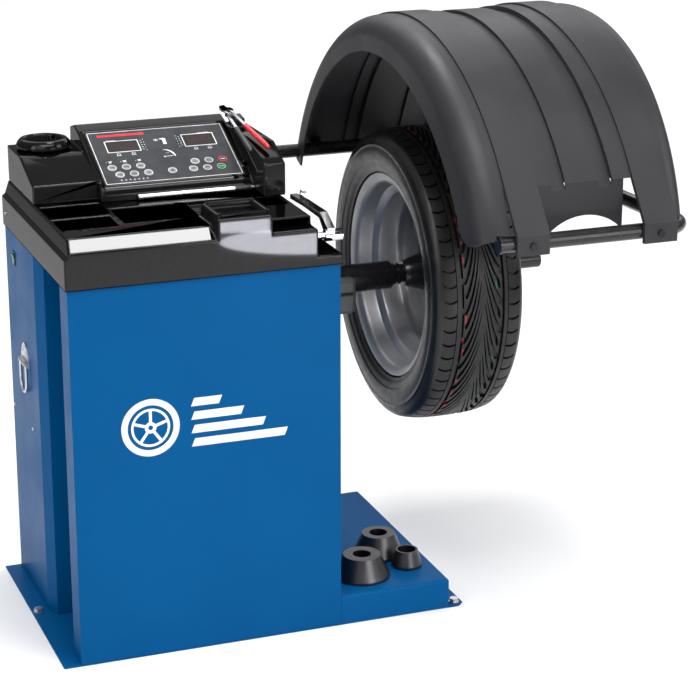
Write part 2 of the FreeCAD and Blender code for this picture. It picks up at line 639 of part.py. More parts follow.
def console_outside(i):
    """The console's outer form, or its hollow when inset by the wall."""
    left = prism_x((12 + i, 156 - i), [(318 + i, DECK), (318 + i, 922 - i), (430 + i, BLOCK_TOP - i),
                                       (545 - i, BLOCK_TOP - i), (545 - i, DECK)])
    tilt = math.radians(PANEL_TILT)
    top_y = PANEL_Y + (PANEL_LENGTH + 8) * math.cos(tilt)
    top_z = PANEL_Z + (PANEL_LENGTH + 8) * math.sin(tilt)
    middle = prism_x((148 + i, 474 - i), [(288 + i, DECK), (288 + i, 898 - i), (PANEL_Y - 9 + i, 911 - i),
                                          (top_y + i, top_z - i), (508, 1002 - i), (545 - i, 992 - i),
                                          (545 - i, DECK)])
    wing = prism_x((473.5 + i, 521 - i), [(220 + i, DECK), (220 + i, 952 - i), (292, 985 - i),
                                          (500, 985 - i), (545 - i, 962 - i), (545 - i, DECK)])
    return left, middle, wing


def under_pliers(y, gap):
    """A height below the pliers at y, gap mm below their middle plane."""
    along = PLIERS_END - PLIERS_HEAD
    return PLIERS_HEAD.z + (y - PLIERS_HEAD.y) * along.z / along.y - gap


def pliers_notch(x, gap):
    front, back, above = 210, 400, 1060
    return prism_x(x, [(front, under_pliers(front, gap)), (back, under_pliers(back, gap)),
                       (back, above), (front, above)])


def console_housing():
    outer = fuse(*console_outside(0)).cut(pliers_notch(PLIERS_NOTCH, GRIP_GAP))
    inner = fuse(*console_outside(WALL))
    past_right = 530
    inner = inner.cut(pliers_notch((PLIERS_NOTCH[0] - WALL, past_right), GRIP_GAP + WALL))
    rest_x, (y0, y1) = PLIERS_REST
    outer = outer.fuse(prism_x(rest_x, [(y0, REST_FOOT), (y1, REST_FOOT), (y1, under_pliers(y1, REST_GAP)),
                                        (y0, under_pliers(y0, REST_GAP))]))
    inner = inner.fuse(block((160, 500), (330, 530), (DECK, 930))).fuse(
        block((100, 500), (460, 530), (DECK, 930)))
    well = turned_up([(0, 890), (41.5, 890), (41.5, BLOCK_TOP - 1), (0, BLOCK_TOP - 1)], RING_X, RING_Y)
    shell = outer.cut(inner).fuse(well)
    shell = shell.cut(rod(Vector(RING_X, RING_Y, 894), Z_AXIS, 80, 38.5))
    tub = panel_block((0, PANEL_WIDTH), (0, PANEL_LENGTH), (-PANEL_SHEET, 30))
    shell = shell.cut(tub)
    window = panel_block((10, PANEL_WIDTH - 10), (12, PANEL_LENGTH - 12), (-12, 3))
    shell = shell.cut(window)
    save("console_housing", shell.removeSplitter())


def control_panel():
    plate = panel_block((0.2, PANEL_WIDTH - 0.2), (0.2, PANEL_LENGTH - 0.2), (-PANEL_SHEET, 0))
    for name, u, v in KEY_PLACES:
        plate = plate.cut(rod(on_panel(u, v, -9), panel_normal(), 20, KEY_R + KEY_GAP))
    for u0, u1, v0, v1 in DISPLAYS:
        plate = plate.cut(panel_block((u0, u1), (v0, v1), (-9, 9)))
    save("control_panel", plate)
    board = panel_block((14, PANEL_WIDTH - 14), (14, PANEL_LENGTH - 14), (-13.6, -12))
    parts = [board]
    for u0, u1, v0, v1 in DISPLAYS:
        parts.append(panel_block((u0 + 0.3, u1 - 0.3), (v0 + 0.3, v1 - 0.3), (-12, -0.4)))
    for name, u, v in KEY_PLACES:
        parts.append(rod(on_panel(u, v, -12), panel_normal(), 12 - KEY_TALL + KEY_PROUD - 0.8, 3.0))
    for u in (16, PANEL_WIDTH - 24):
        for v in (16, PANEL_LENGTH - 24):
            parts.append(panel_block((u, u + 8), (v, v + 8), (-12, -PANEL_SHEET)))
    save("circuit_boards", fuse(*parts), main_board())


def keys():
    for name, u, v in KEY_PLACES:
        save(name, rod(on_panel(u, v, KEY_PROUD - KEY_TALL), panel_normal(), KEY_TALL, KEY_R))


def storage_ring():
    outline = [(38.5, BLOCK_TOP), (51, BLOCK_TOP), (57, BLOCK_TOP + 5), (57.5, BLOCK_TOP + 10),
               (54, BLOCK_TOP + 17), (49, BLOCK_TOP + 22), (43, BLOCK_TOP + 23), (39.5, BLOCK_TOP + 20)]
    save("storage_ring", turned_up(outline, RING_X, RING_Y))


def power_switch():
    y0, y1 = SWITCH_Y
    z0, z1 = SWITCH_Z
    bezel = block((-2, 0), (y0 - 2, y1 + 2), (z0 - 2, z1 + 2))
    case = block((-2, 22), (y0, y1), (z0, z1))
    housing = fuse(bezel, case).cut(block((-3, 12), (y0 + 2, y1 - 2), (z0 + 1.5, z1 - 1.5)))
    y = ((y0 + y1) / 2, (z0 + z1) / 2)
    housing = housing.cut(rod(Vector(4, y0 + 0.7, y[1]), Y_AXIS, y1 - y0 - 1.4, 1.4 + RUN))
    save("switch_housing", housing)
    rocker = prism_y((y0 + 2.3, y1 - 2.3), [(-4.5, y[1] + 10.4), (-2.2, y[1]), (-4.5, y[1] - 10.4),
                                            (5, y[1] - 7), (8, y[1]), (5, y[1] + 7)])
    rocker.rotate(Vector(4, y[0], y[1]), Y_AXIS, -8)
    pin = rod(Vector(4, y0 + 0.8, y[1]), Y_AXIS, y1 - y0 - 1.6, 1.4)
    save("power_rocker", fuse(rocker, pin))


def lifting_ring():
    hinge_x, hinge_y, hinge_z = LIFT_RING
    outline = [(hinge_y - 31, 519), (hinge_y + 31, 519), (hinge_y + 31, 540), (hinge_y + 18, 560),
               (hinge_y, 570), (hinge_y - 18, 560), (hinge_y - 31, 540)]
    plate = prism_x((-2.5, 0), outline)
    saddle = rod(Vector(hinge_x, hinge_y - 22, hinge_z), Y_AXIS, 44, 5.5)
    saddle = saddle.fuse(block((hinge_x, 0), (hinge_y - 22, hinge_y + 22), (hinge_z - 5.5, hinge_z + 5.5)))
    plate = plate.fuse(saddle).cut(rod(Vector(hinge_x, hinge_y - 40, hinge_z), Y_AXIS, 80, 3.5 + RUN))
    rivets = [rod(Vector(-4.2, hinge_y + dy, dz), X_AXIS, 4.2, 3) for dy, dz in
              ((-14, 549), (14, 549), (0, 560))]
    save("ring_plate", fuse(plate, *rivets))
    r = 3.5
    half, drop = 26.0, 66.0
    top = Vector(hinge_x, hinge_y, hinge_z)

    def at(dy, dz):
        return top + Vector(0, dy, dz)

    bow = drop - half
    k = math.sin(math.radians(45))
    path = [Part.LineSegment(at(-half, 0), at(-half, -bow)).toShape(),
            Part.Arc(at(-half, -bow), at(-half * k, -bow - half * k), at(0, -drop)).toShape(),
            Part.Arc(at(0, -drop), at(half * k, -bow - half * k), at(half, -bow)).toShape(),
            Part.LineSegment(at(half, -bow), at(half, 0)).toShape()]
    wire = Part.Wire(path)
    section = Part.Wire(Part.makeCircle(r - 0.3, at(-half, 0), Z_AXIS))
    ring = wire.makePipeShell([section], True, True)
    bar = rod(at(-half - r, 0), Y_AXIS, 2 * half + 2 * r, r)
    save("lifting_ring", fuse(ring, bar))


# ---------------------------------------------------------------- gauge and loose tools
def gauge():
    collar = rod_x((306.4, 312), GAUGE_Y, GAUGE_Z, 11)
    save("gauge_rod", fuse(rod_x((262, 572), GAUGE_Y, GAUGE_Z, GAUGE_R), collar))
    hub = rod_x((ARM_X[0] - 2, 571), GAUGE_Y, GAUGE_Z, 12.5)
    arm = prism_x(ARM_X, [(34, 836), (32, 857), (78, 880), (182, 879), (260, 875), (260, 865),
                          (182, 868), (84, 867), (57, 846), (57, 836)])
    hollow = prism_x((ARM_X[0] + ARM_SHEET, ARM_X[1] - ARM_SHEET),
                     [(36, 830), (34.5, 855.5), (78.8, 877.8), (182, 876.9), (262, 872.8), (262, 830)])
    arm = arm.cut(hollow)
    hook = prism_x((546, 554), [(206, 878), (206, 890), (203, 896), (197, 899), (190, 898), (185, 894),
                                (187, 892.5), (191, 895.5), (196.5, 896.3), (201, 893.6),
                                (203.4, 889.5), (203.4, 878)])
    end_cap = fuse(rod_x((572.1, 578), GAUGE_Y, GAUGE_Z, 12.5), rod_x((570, 574), GAUGE_Y, GAUGE_Z, 12.5, 8.0))
    whole = fuse(hub, arm, hook).cut(rod_x((500, 572), GAUGE_Y, GAUGE_Z, GAUGE_R + RUN))
    save("gauge_arm", fuse(whole, end_cap))


def pliers():
    along = (PLIERS_END - PLIERS_HEAD).normalize()
    up = (Z_AXIS - along * Z_AXIS.dot(along)).normalize()
    side = up.cross(along)

    def at(a, b, c=0.0):
        return PLIERS_HEAD + along * a + side * b + up * c

    for name, sign, layer in (("pliers_left_half", 1, (0.1, 5.0)), ("pliers_right_half", -1, (-5.0, -0.1))):
        outline = [(0, -2), (4, -12), (16, -15), (30, -9), (40, 6), (52, 9), (134, 15), (134, 7),
                   (54, 2), (44, -6), (40, -9), (26, 1), (12, -1)]
        face = polygon([at(a, sign * b, layer[0]) for a, b in outline])
        half = face.extrude(up * (layer[1] - layer[0]))
        middle = (layer[0] + layer[1]) / 2
        grip = rod(at(112, sign * 10, middle), (at(236, sign * 19) - at(112, sign * 10)).normalize(), 124, 6)
        half = half.fuse(grip)
        eye = rod(at(38, 0, layer[0]), up, layer[1] - layer[0], 11)
        half = half.fuse(eye)
        pin = rod(at(38, 0, -5.0), up, 10.0, 4)
        half = half.fuse(pin) if sign > 0 else half.cut(rod(at(38, 0, -9), up, 18, 4 + RUN))
        save(name, half.removeSplitter())


def loose_bar():
    y, z = 281.0, DECK + 6.2
    shaft = rod_x((223, 428), y, z, 6)
    sleeve = rod_x((428, 466), y, z, 6.1)
    nut = rod_x((466, 472.5), y, z, 4.5)
    save("measuring_bar", fuse(shaft, sleeve, nut))


def cones():
    for name, x, y, base, top, bore, tall in (("cone_large", 640, 88, 60, 40, 19.5, 50),
                                              ("cone_medium", 716, 186, 54, 36, 19.5, 50),
                                              ("cone_small", 750, 104, 33, 24, 20, 38)):
        z = PLATFORM_TOP
        outline = [(bore, z), (base, z), (base, z + 6), (top, z + tall), (bore, z + tall)]
        save(name, turned_up(outline, x, y))


# ---------------------------------------------------------------- guard
def guard_sector(x0, x1):
    """The part of space between the guard's rear and front ends."""
    far = 3 * GUARD_R
    start, end = GUARD_ANGLES
    corners = [(GUARD_Y, GUARD_Z)]
    for angle in (start, 60.0, 120.0, end):
        a = math.radians(angle)
        corners.append((GUARD_Y + far * math.cos(a), GUARD_Z + far * math.sin(a)))
    return prism_x((x0, x1), corners)


def guard_disc(inset):
    """The guard's outer form as a solid, or its hollow when inset by the sheet."""
    radius, left = GUARD_R - inset, GUARD_LEFT + inset
    up, down = GUARD_Z + GUARD_R, GUARD_Z - GUARD_R
    wall_up = GUARD_RIGHT + GUARD_LEAN * (up - GUARD_RIGHT_Z) - inset
    wall_down = GUARD_RIGHT + GUARD_LEAN * (down - GUARD_RIGHT_Z) - inset
    disc = rod_x((left, wall_up + 50), GUARD_Y, GUARD_Z, radius)
    wedge = prism_y((GUARD_Y - GUARD_R - 9, GUARD_Y + GUARD_R + 9),
                    [(left - 1, down), (wall_down, down), (wall_up, up), (left - 1, up)])
    disc = disc.common(wedge).common(guard_sector(left - 2, wall_up + 60))

    def on_rim(edge, at_left):
        middle = edge.valueAt((edge.FirstParameter + edge.LastParameter) / 2)
        near_rim = math.hypot(middle.y - GUARD_Y, middle.z - GUARD_Z) > radius - 1
        return near_rim and edge.Length > GUARD_R and (middle.x < left + 1) == at_left

    left_r, right_r = GUARD_SHOULDERS
    disc = rounded(disc, left_r - inset, lambda e: on_rim(e, True))
    return rounded(disc, right_r - inset, lambda e: on_rim(e, False))


def guard_band(x0, x1, low, high):
    """A ring about the guard's axis, from one radius to another."""
    return rod_x((x0, x1), GUARD_Y, GUARD_Z, high, low)


def guard_strap(x0, x1, proud):
    """The straight lower end of a strap: a flanged plate that folds down over the front tube."""
    radius = GUARD_R + proud
    fold_y, fold_z = STRAP_FOLD
    dy, dz = fold_y - GUARD_Y, fold_z - GUARD_Z
    angle = math.atan2(dz, dy) - math.acos(radius / math.hypot(dy, dz))
    top = (GUARD_Y + radius * math.cos(angle), GUARD_Z + radius * math.sin(angle))
    slope = (fold_z - top[1]) / (fold_y - top[0])

    def outline(thick):
        """The strap's side outline, thick below its outer face."""
        inner = radius - thick
        under = (GUARD_Y + inner * math.cos(angle), GUARD_Z + inner * math.sin(angle))
        back = fold_y + thick
        return [top, (fold_y, fold_z), (fold_y, STRAP_END), (back, STRAP_END),
                (back, under[1] + slope * (back - under[0])), under]

    flanges = [prism_x(x, outline(STRAP_FLANGE)) for x in ((x0, x0 + 3), (x1 - 3, x1))]
    return fuse(prism_x((x0, x1), outline(GUARD_SHEET)), *flanges)


def sunk_edge(deep, y):
    """The height at which a sunk band of the shell meets the upright plane at y."""
    return GUARD_Z + math.sqrt((GUARD_R - deep) ** 2 - (y - GUARD_Y) ** 2)


def guard_front():
    """The opening cut out of the shell's front, and the apron that hangs below its edge."""
    y = GUARD_Y - math.sqrt(GUARD_R ** 2 - (APRON_TOP - GUARD_Z) ** 2)
    opening = block(FRONT_OPENING, (GUARD_Y - GUARD_R - 50, GUARD_Y - 200), (GUARD_Z, APRON_TOP))
    apron = block(APRON_X, (y, y + GUARD_SHEET), (APRON_BOTTOM, APRON_TOP))
    for x0, x1, deep in SUNK:
        step = (sunk_edge(deep, y), APRON_TOP + 1)
        opening = opening.cut(block((x0, x1), (y - 400, y + 400), step))
        apron = apron.cut(block((x0, x1), (y - 1, y + 9), step))
    x, z, r = ARCH
    return opening, apron.cut(rod(Vector(x, y - 9, z), Y_AXIS, 30, r))


def guard_shell():
    t = GUARD_SHEET
    outer, inner = guard_disc(0), guard_disc(t)
    for x0, x1, proud in RAISED:
        band = guard_band(x0, x1, GUARD_R - t - 1, GUARD_R + proud).common(guard_sector(x0, x1))
        hollow = guard_band(x0 + t, x1 - t, GUARD_R - 2 * t, GUARD_R + proud - t)
        outer = outer.fuse(band)
        inner = inner.fuse(hollow.common(guard_sector(x0, x1)))
    for x0, x1, deep in SUNK:
        outer = outer.cut(guard_band(x0, x1, GUARD_R - deep, GUARD_R + 9))
        inner = inner.cut(guard_band(x0 - t, x1 + t, GUARD_R - deep - t, GUARD_R + 9))
    y, z, lip_r = LIP
    everywhere = (GUARD_LEFT - 50, GUARD_RIGHT + 200)
    shell = outer.cut(inner).cut(rod_x(everywhere, y, z, lip_r))
    split = rod_x(everywhere, GUARD_Y, GUARD_Z, WALL_SPLIT_R)
    opening, apron = guard_front()
    corner = block((CORNER_X, FRONT_OPENING[0] + 1), (GUARD_Y - GUARD_R, GUARD_Y - 300),
                   (GUARD_Z, CORNER_Z))
    corner = corner.cut(rod(Vector(CORNER_X, GUARD_Y - GUARD_R - 1, CORNER_Z), Y_AXIS, 300,
                            FRONT_OPENING[0] - CORNER_X))
    below_leg = prism_x((SIDE_LEG_X - 40, SIDE_LEG_X + 90), LEG_CLEARANCE)
    shell = shell.cut(below_leg).cut(corner)
    walls = shell.common(split)
    shell = shell.cut(split).cut(opening)
    for strap in STRAPS:
        shell = shell.fuse(guard_strap(*strap))
    shell = shell.fuse(apron).removeSplitter()
    tube = bent_tube(TUBE_R)
    shell = shell.cut(tube).cut(rod_x((CORNER_X, FRONT_OPENING[0]), *FRONT_TUBE, CAP_R + 0.3))
    for place, outward in strap_screws() + saddle_screws():
        shell = shell.cut(rod(place - outward * 12, outward, 20, 3.0))
    save("guard_shell", *shell.Solids)
    save("guard_side_walls", *walls.cut(tube).Solids)


def strap_screws():
    """Place and outward direction of the screw in each strap's foot."""
    return [(Vector((x0 + x1) / 2, STRAP_FOLD[0], STRAP_SCREW_Z), -Y_AXIS) for x0, x1, _ in STRAPS]


def saddle_screws():
    """Place and outward direction of the screws that hold the shell on the pivot tube."""
    outward = Vector(0, PIVOT_Y - GUARD_Y, PIVOT_Z - GUARD_Z).normalize()
    return [(Vector(x, GUARD_Y, GUARD_Z) + outward * GUARD_R, outward) for x in SADDLES_X]


def bent_tube(radius):
    """The U shaped guard tube: pivot length, side leg and front length, as one sweep."""
    y1, z1 = FRONT_TUBE
    a = Vector(PIVOT_TUBE_LEFT, PIVOT_Y, PIVOT_Z)
    corner_back = Vector(SIDE_LEG_X, PIVOT_Y, PIVOT_Z)
    corner_front = Vector(SIDE_LEG_X, y1, z1)
    b = Vector(FRONT_TUBE_LEFT, y1, z1)
    leg = (corner_front - corner_back).normalize()
    k = 1 - math.sin(math.radians(45))

    def bend(corner, arriving, leaving):
        begin = corner - arriving * TUBE_BEND
        end = corner + leaving * TUBE_BEND
        through = corner - (arriving - leaving) * (TUBE_BEND * k)
        return begin, Part.Arc(begin, through, end).toShape(), end

    p, arc_back, q = bend(corner_back, X_AXIS, leg)
    s, arc_front, u = bend(corner_front, leg, -X_AXIS)
    path = Part.Wire([Part.LineSegment(a, p).toShape(), arc_back, Part.LineSegment(q, s).toShape(),
                      arc_front, Part.LineSegment(u, b).toShape()])
    section = Part.Wire(Part.makeCircle(radius, a, X_AXIS))
    return path.makePipeShell([section], True, True)


def guard_tube():
    y, z = FRONT_TUBE
    cap = rod_x((FRONT_TUBE_LEFT - 5, FRONT_TUBE_LEFT), y, z, CAP_R)
    cam = rod_x((486, 498), PIVOT_Y, PIVOT_Z, TUBE_R + 7)
    tube = fuse(bent_tube(TUBE_R), cam).cut(bent_tube(TUBE_R - TUBE_SHEET)).fuse(cap)
    for place, outward in strap_screws():
        tube = tube.cut(rod(place - outward * 20, outward, 30, 3.0))
    save("guard_tube", tube)


def guard_fixings():
    head_r, head, shank_r = 7.0, 4.0, 3.0
    solids = [screw(place, outward, head_r, head, shank_r, 12.0) for place, outward in strap_screws()]
    for place, outward in saddle_screws():
        axis_point = Vector(place.x, PIVOT_Y, PIVOT_Z)
        inner_face = place - outward * GUARD_SHEET
        saddle = rod(axis_point, outward, (inner_face - axis_point).Length - 0.4, 12)
        solids.append(saddle.cut(rod_x((600, 1100), PIVOT_Y, PIVOT_Z, TUBE_R)))
        solids.append(screw(place, outward, head_r, head, shank_r, GUARD_SHEET))
    save("guard_fixings", *solids)


def guard_bracket():
    back = CABINET_DEPTH
    plate = block((425, 555), (back, back + 6), (640, 800))
    ear = [(back, 640), (back + 24, 640), (612, 862), (612, 900), (600, 911), (580, 911), (566, 900),
           (back, 800)]
    ears = [prism_x(x, ear) for x in ((425, 433), (547, 555))]
    bracket = fuse(plate, *ears)
    bracket = bracket.cut(rod_x((400, 600), PIVOT_Y, PIVOT_Z, TUBE_R + RUN))
    save("guard_bracket", bracket)
    lever = rod_x((488, 496), PIVOT_Y - 2, PIVOT_Z - TUBE_R - 7 - 6.4, 6)
    body = block((482, 502), (back + 6, PIVOT_Y + 14), (820 - 12, PIVOT_Z - TUBE_R - 7 - 10))
    wall = block((482, 502), (back + 6, back + 14), (760, 822))
    save("guard_switch", fuse(body, wall, lever))


os.makedirs("parts", exist_ok=True)
base_frame()
cabinet_body()
rear_cover()
mains_inlet()
cabinet_fasteners()
housing_bracket()
spindle_housing()
bearings()
motor()
pulleys()
sensors()
spindle_shaft()
hub_flange()
centring_cone()
wheel_barrel()
wheel_disc()
tyre()
clamping_nut()
weight_tray()
console_housing()
control_panel()
keys()
storage_ring()
power_switch()
lifting_ring()
gauge()
pliers()
loose_bar()
cones()
guard_shell()
guard_tube()
guard_fixings()
guard_bracket()
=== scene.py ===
import json
import math

import bmesh
import bpy
import numpy as np
from mathutils import Matrix, Vector


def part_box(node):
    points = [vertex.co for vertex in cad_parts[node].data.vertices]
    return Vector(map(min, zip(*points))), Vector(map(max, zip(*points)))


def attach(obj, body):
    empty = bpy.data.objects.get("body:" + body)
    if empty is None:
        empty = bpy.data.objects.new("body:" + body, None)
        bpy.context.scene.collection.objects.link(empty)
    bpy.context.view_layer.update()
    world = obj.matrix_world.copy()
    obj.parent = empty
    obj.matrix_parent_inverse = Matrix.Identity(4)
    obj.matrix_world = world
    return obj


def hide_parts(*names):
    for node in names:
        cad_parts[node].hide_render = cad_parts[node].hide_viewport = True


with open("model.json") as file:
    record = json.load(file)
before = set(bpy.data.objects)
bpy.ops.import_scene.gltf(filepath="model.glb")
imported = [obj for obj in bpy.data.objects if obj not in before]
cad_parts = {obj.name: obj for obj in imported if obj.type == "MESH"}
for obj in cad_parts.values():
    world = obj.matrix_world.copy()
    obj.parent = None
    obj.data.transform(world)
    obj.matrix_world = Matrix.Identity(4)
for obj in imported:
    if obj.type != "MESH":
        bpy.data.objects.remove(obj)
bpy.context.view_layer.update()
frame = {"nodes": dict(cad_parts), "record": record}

SCENE = bpy.context.scene
NODES = frame["nodes"]
MM = 0.001
SPINDLE_Y = 268.5                    # the spindle's axis, mm from the cabinet's front left foot
SPINDLE_Z = 674.6


# ---------------------------------------------------------------- places
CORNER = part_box("cabinet_body")[0]


def cab(x, y, z):
    """A point given in mm from the cabinet's front left foot, as row frame metres."""
    return Vector((CORNER.x + x * MM, CORNER.y + y * MM, z * MM))


# ---------------------------------------------------------------- camera, light and floor
CAMERA_PLACE = cab(-944.4, -4033.4, 2014.1)
CAMERA_YAW = 20.7                    # degrees to the right of straight back
CAMERA_PITCH = -17.75
CAMERA_LENS = 115.07                 # mm, on a sensor 36 mm wide
WHITE_LIGHT = (1.0, 1.0, 1.0)
PALE_LIGHT = (0.9, 0.9, 1.0)
SKY_LOW = (0.25, 0.255, 0.27, 1)
SKY_HIGH = (0.9, 0.9, 0.92, 1)
SKY_STRENGTH = 0.62


def look(yaw, pitch):
    """The rotation of a camera that looks along a yaw to the right and a pitch up, in degrees."""
    turn = Matrix.Rotation(math.radians(-yaw), 4, "Z")
    nod = Matrix.Rotation(math.radians(90 + pitch), 4, "X")
    return turn @ nod


def make_camera():
    data = bpy.data.cameras.new("camera")
    data.sensor_width = 36.0
    data.lens = CAMERA_LENS
    camera = bpy.data.objects.new("camera", data)
    SCENE.collection.objects.link(camera)
    camera.matrix_world = Matrix.Translation(CAMERA_PLACE) @ look(CAMERA_YAW, CAMERA_PITCH)
    SCENE.camera = camera


def softbox(name, place, target, size, power, colour=WHITE_LIGHT, shape="RECTANGLE"):
    """An area light at a place in metres that shines at its target, with its power in watts."""
    data = bpy.data.lights.new(name, "AREA")
    data.shape = shape
    data.size, data.size_y = size
    data.energy = power
    data.color = colour
    light = bpy.data.objects.new(name, data)
    SCENE.collection.objects.link(light)
    aim = (Vector(target) - Vector(place)).to_track_quat("-Z", "Y")
    light.matrix_world = Matrix.Translation(place) @ aim.to_matrix().to_4x4()


def make_sky():
    """A studio room that brightens from its floor to its ceiling."""
    world = bpy.data.worlds.new("studio")
    SCENE.world = world
    world.use_nodes = True
    tree = world.node_tree
    tree.nodes.clear()
    out = tree.nodes.new("ShaderNodeOutputWorld")
    back = tree.nodes.new("ShaderNodeBackground")
    ramp = tree.nodes.new("ShaderNodeValToRGB")
    split = tree.nodes.new("ShaderNodeSeparateXYZ")
    coord = tree.nodes.new("ShaderNodeTexCoord")
    tree.links.new(coord.outputs["Generated"], split.inputs[0])
    tree.links.new(split.outputs["Z"], ramp.inputs["Fac"])
    tree.links.new(ramp.outputs["Color"], back.inputs["Color"])
    tree.links.new(back.outputs[0], out.inputs[0])
    first, last = ramp.color_ramp.elements
    first.position, last.position = 0.0, 0.9
    first.color, last.color = SKY_LOW, SKY_HIGH
    back.inputs["Strength"].default_value = SKY_STRENGTH


def make_light():
    """band_box is what the tray's sloped front shows, eye_box and hump_box what its upright front does."""
    make_sky()
    softbox("back_box", (3.6, 6.4, 4.6), (3.6, 6.4, 0.0), (10.0, 7.0), 330)
    softbox("top_box", (0.1, -1.5, 3.9), (0.1, 0.0, 0.8), (2.6, 1.2), 75)
    softbox("band_box", (0.315, 0.46, 2.9), (0.315, 0.4601, 0.0), (0.7, 0.36), 27)
    softbox("front_box", (1.5, -3.4, 1.7), (0.1, 0.0, 0.7), (1.6, 1.8), 40)
    softbox("floor_box", (-1.6, -2.6, 4.6), (-1.6, -2.599, 0.0), (4.0, 3.0), 90)
    softbox("eye_box", (0.69, -2.075, 0.325), (0.04, -0.28, 0.85), (0.44, 0.07), 2.2, PALE_LIGHT, "ELLIPSE")
    softbox("hump_box", (0.52, -2.075, 0.4), (-0.045, -0.28, 0.885), (0.17, 0.06), 1.0, PALE_LIGHT)
    softbox("left_box", (-2.9, -1.4, 2.2), (0.0, 0.0, 0.7), (1.2, 1.8), 30)
    softbox("right_box", (3.0, -1.6, 2.4), (0.3, 0.0, 0.7), (1.2, 1.8), 34)


def make_floor():
    bm = bmesh.new()
    bmesh.ops.create_grid(bm, x_segments=8, y_segments=8, size=14)
    floor = mesh_object("floor", bm)
    floor.data.materials.append(plain_floor())


# ---------------------------------------------------------------- material kit
class Finish:
    """A Principled material with short calls for its procedural detail."""

    def __init__(self, name, colour, roughness, metallic=0.0, coat=0.0, specular=0.5):
        self.material = bpy.data.materials.new(name)
        self.material.use_nodes = True
        self.tree = self.material.node_tree
        self.shader = self.tree.nodes["Principled BSDF"]
        self.shader.inputs["Base Color"].default_value = (*colour, 1)
        self.shader.inputs["Roughness"].default_value = roughness
        self.shader.inputs["Metallic"].default_value = metallic
        self.shader.inputs["Coat Weight"].default_value = coat
        self.shader.inputs["Coat Roughness"].default_value = 0.06
        self.shader.inputs["Specular IOR Level"].default_value = specular
        self.coord = self.tree.nodes.new("ShaderNodeTexCoord").outputs["Object"]

    def node(self, kind, **values):
        made = self.tree.nodes.new("ShaderNode" + kind)
        for key, value in values.items():
            if hasattr(made, key):
                setattr(made, key, value)
            else:
                made.inputs[key.replace("_", " ")].default_value = value
        return made

    def link(self, a, b):
        self.tree.links.new(a, b)

    def stretched(self, scale):
        """The object's coordinates, scaled by a different amount each way."""
        mapping = self.node("Mapping")
        mapping.inputs["Scale"].default_value = scale
        self.link(self.coord, mapping.inputs["Vector"])
        return mapping.outputs[0]

    def noise(self, scale, detail=3.0, stretch=None):
        made = self.node("TexNoise", Scale=scale, Detail=detail)
        self.link(self.stretched(stretch) if stretch else self.coord, made.inputs["Vector"])
        return made.outputs["Fac"]

    def math(self, operation, a, b=0.0):
        made = self.node("Math", operation=operation)
        for socket, value in zip(made.inputs, (a, b)):
            if isinstance(value, (int, float)):
                socket.default_value = value
            else:
                self.link(value, socket)
        return made.outputs[0]

    def ramp(self, fac, low, high, a, b):
        """Maps fac from low..high to the colours or numbers a..b."""
        made = self.node("ValToRGB")
        first, last = made.color_ramp.elements
        first.position, last.position = low, high
        first.color = (*a, 1) if isinstance(a, tuple) else (a, a, a, 1)
        last.color = (*b, 1) if isinstance(b, tuple) else (b, b, b, 1)
        self.link(fac, made.inputs["Fac"])
        return made.outputs["Color"]

    def mix(self, fac, a, b):
        made = self.node("Mix", data_type="RGBA")
        for socket, value in ((made.inputs[0], fac), (made.inputs[6], a), (made.inputs[7], b)):
            if isinstance(value, tuple):
                socket.default_value = (*value, 1)
            elif isinstance(value, (int, float)):
                socket.default_value = value
            else:
                self.link(value, socket)
        return made.outputs[2]

    def colour(self, socket):
        self.link(socket, self.shader.inputs["Base Color"])

    def mottled(self, a, b, scale=18.0, low=0.35, high=0.65):
        self.colour(self.ramp(self.noise(scale, 4.0), low, high, a, b))

    def rough(self, low, high, scale=25.0, detail=4.0):
        self.link(self.ramp(self.noise(scale, detail), 0.3, 0.7, low, high), self.shader.inputs["Roughness"])

    def round_edges(self, radius):
        """Lets every edge shine as if it were rounded to the radius, in metres."""
        rounded = self.node("Bevel", samples=6, Radius=radius).outputs[0]
        self.link(rounded, self.shader.inputs["Normal"])
        self.link(rounded, self.shader.inputs["Coat Normal"])

    def bump(self, height, depth, strength):
        """Adds a bump of depth metres."""
        made = self.node("Bump", Strength=strength, Distance=depth)
        self.link(height, made.inputs["Height"])
        self.link(made.outputs[0], self.shader.inputs["Normal"])


def plain_floor():
    f = Finish("floor_paper", (0.9, 0.9, 0.905), 0.85)
    f.mottled((0.895, 0.895, 0.9), (0.92, 0.92, 0.922), 1.5)
    return f.material


def blue_paint():
    f = Finish("blue_paint", (0.0, 0.074, 0.22), 0.4, specular=0.05)
    f.mottled((0.0, 0.072, 0.216), (0.0, 0.077, 0.227), 6.0)
    f.rough(0.34, 0.44, 9.0)
    f.bump(f.noise(900.0, 2.0), 0.00012, 0.25)
    return f.material


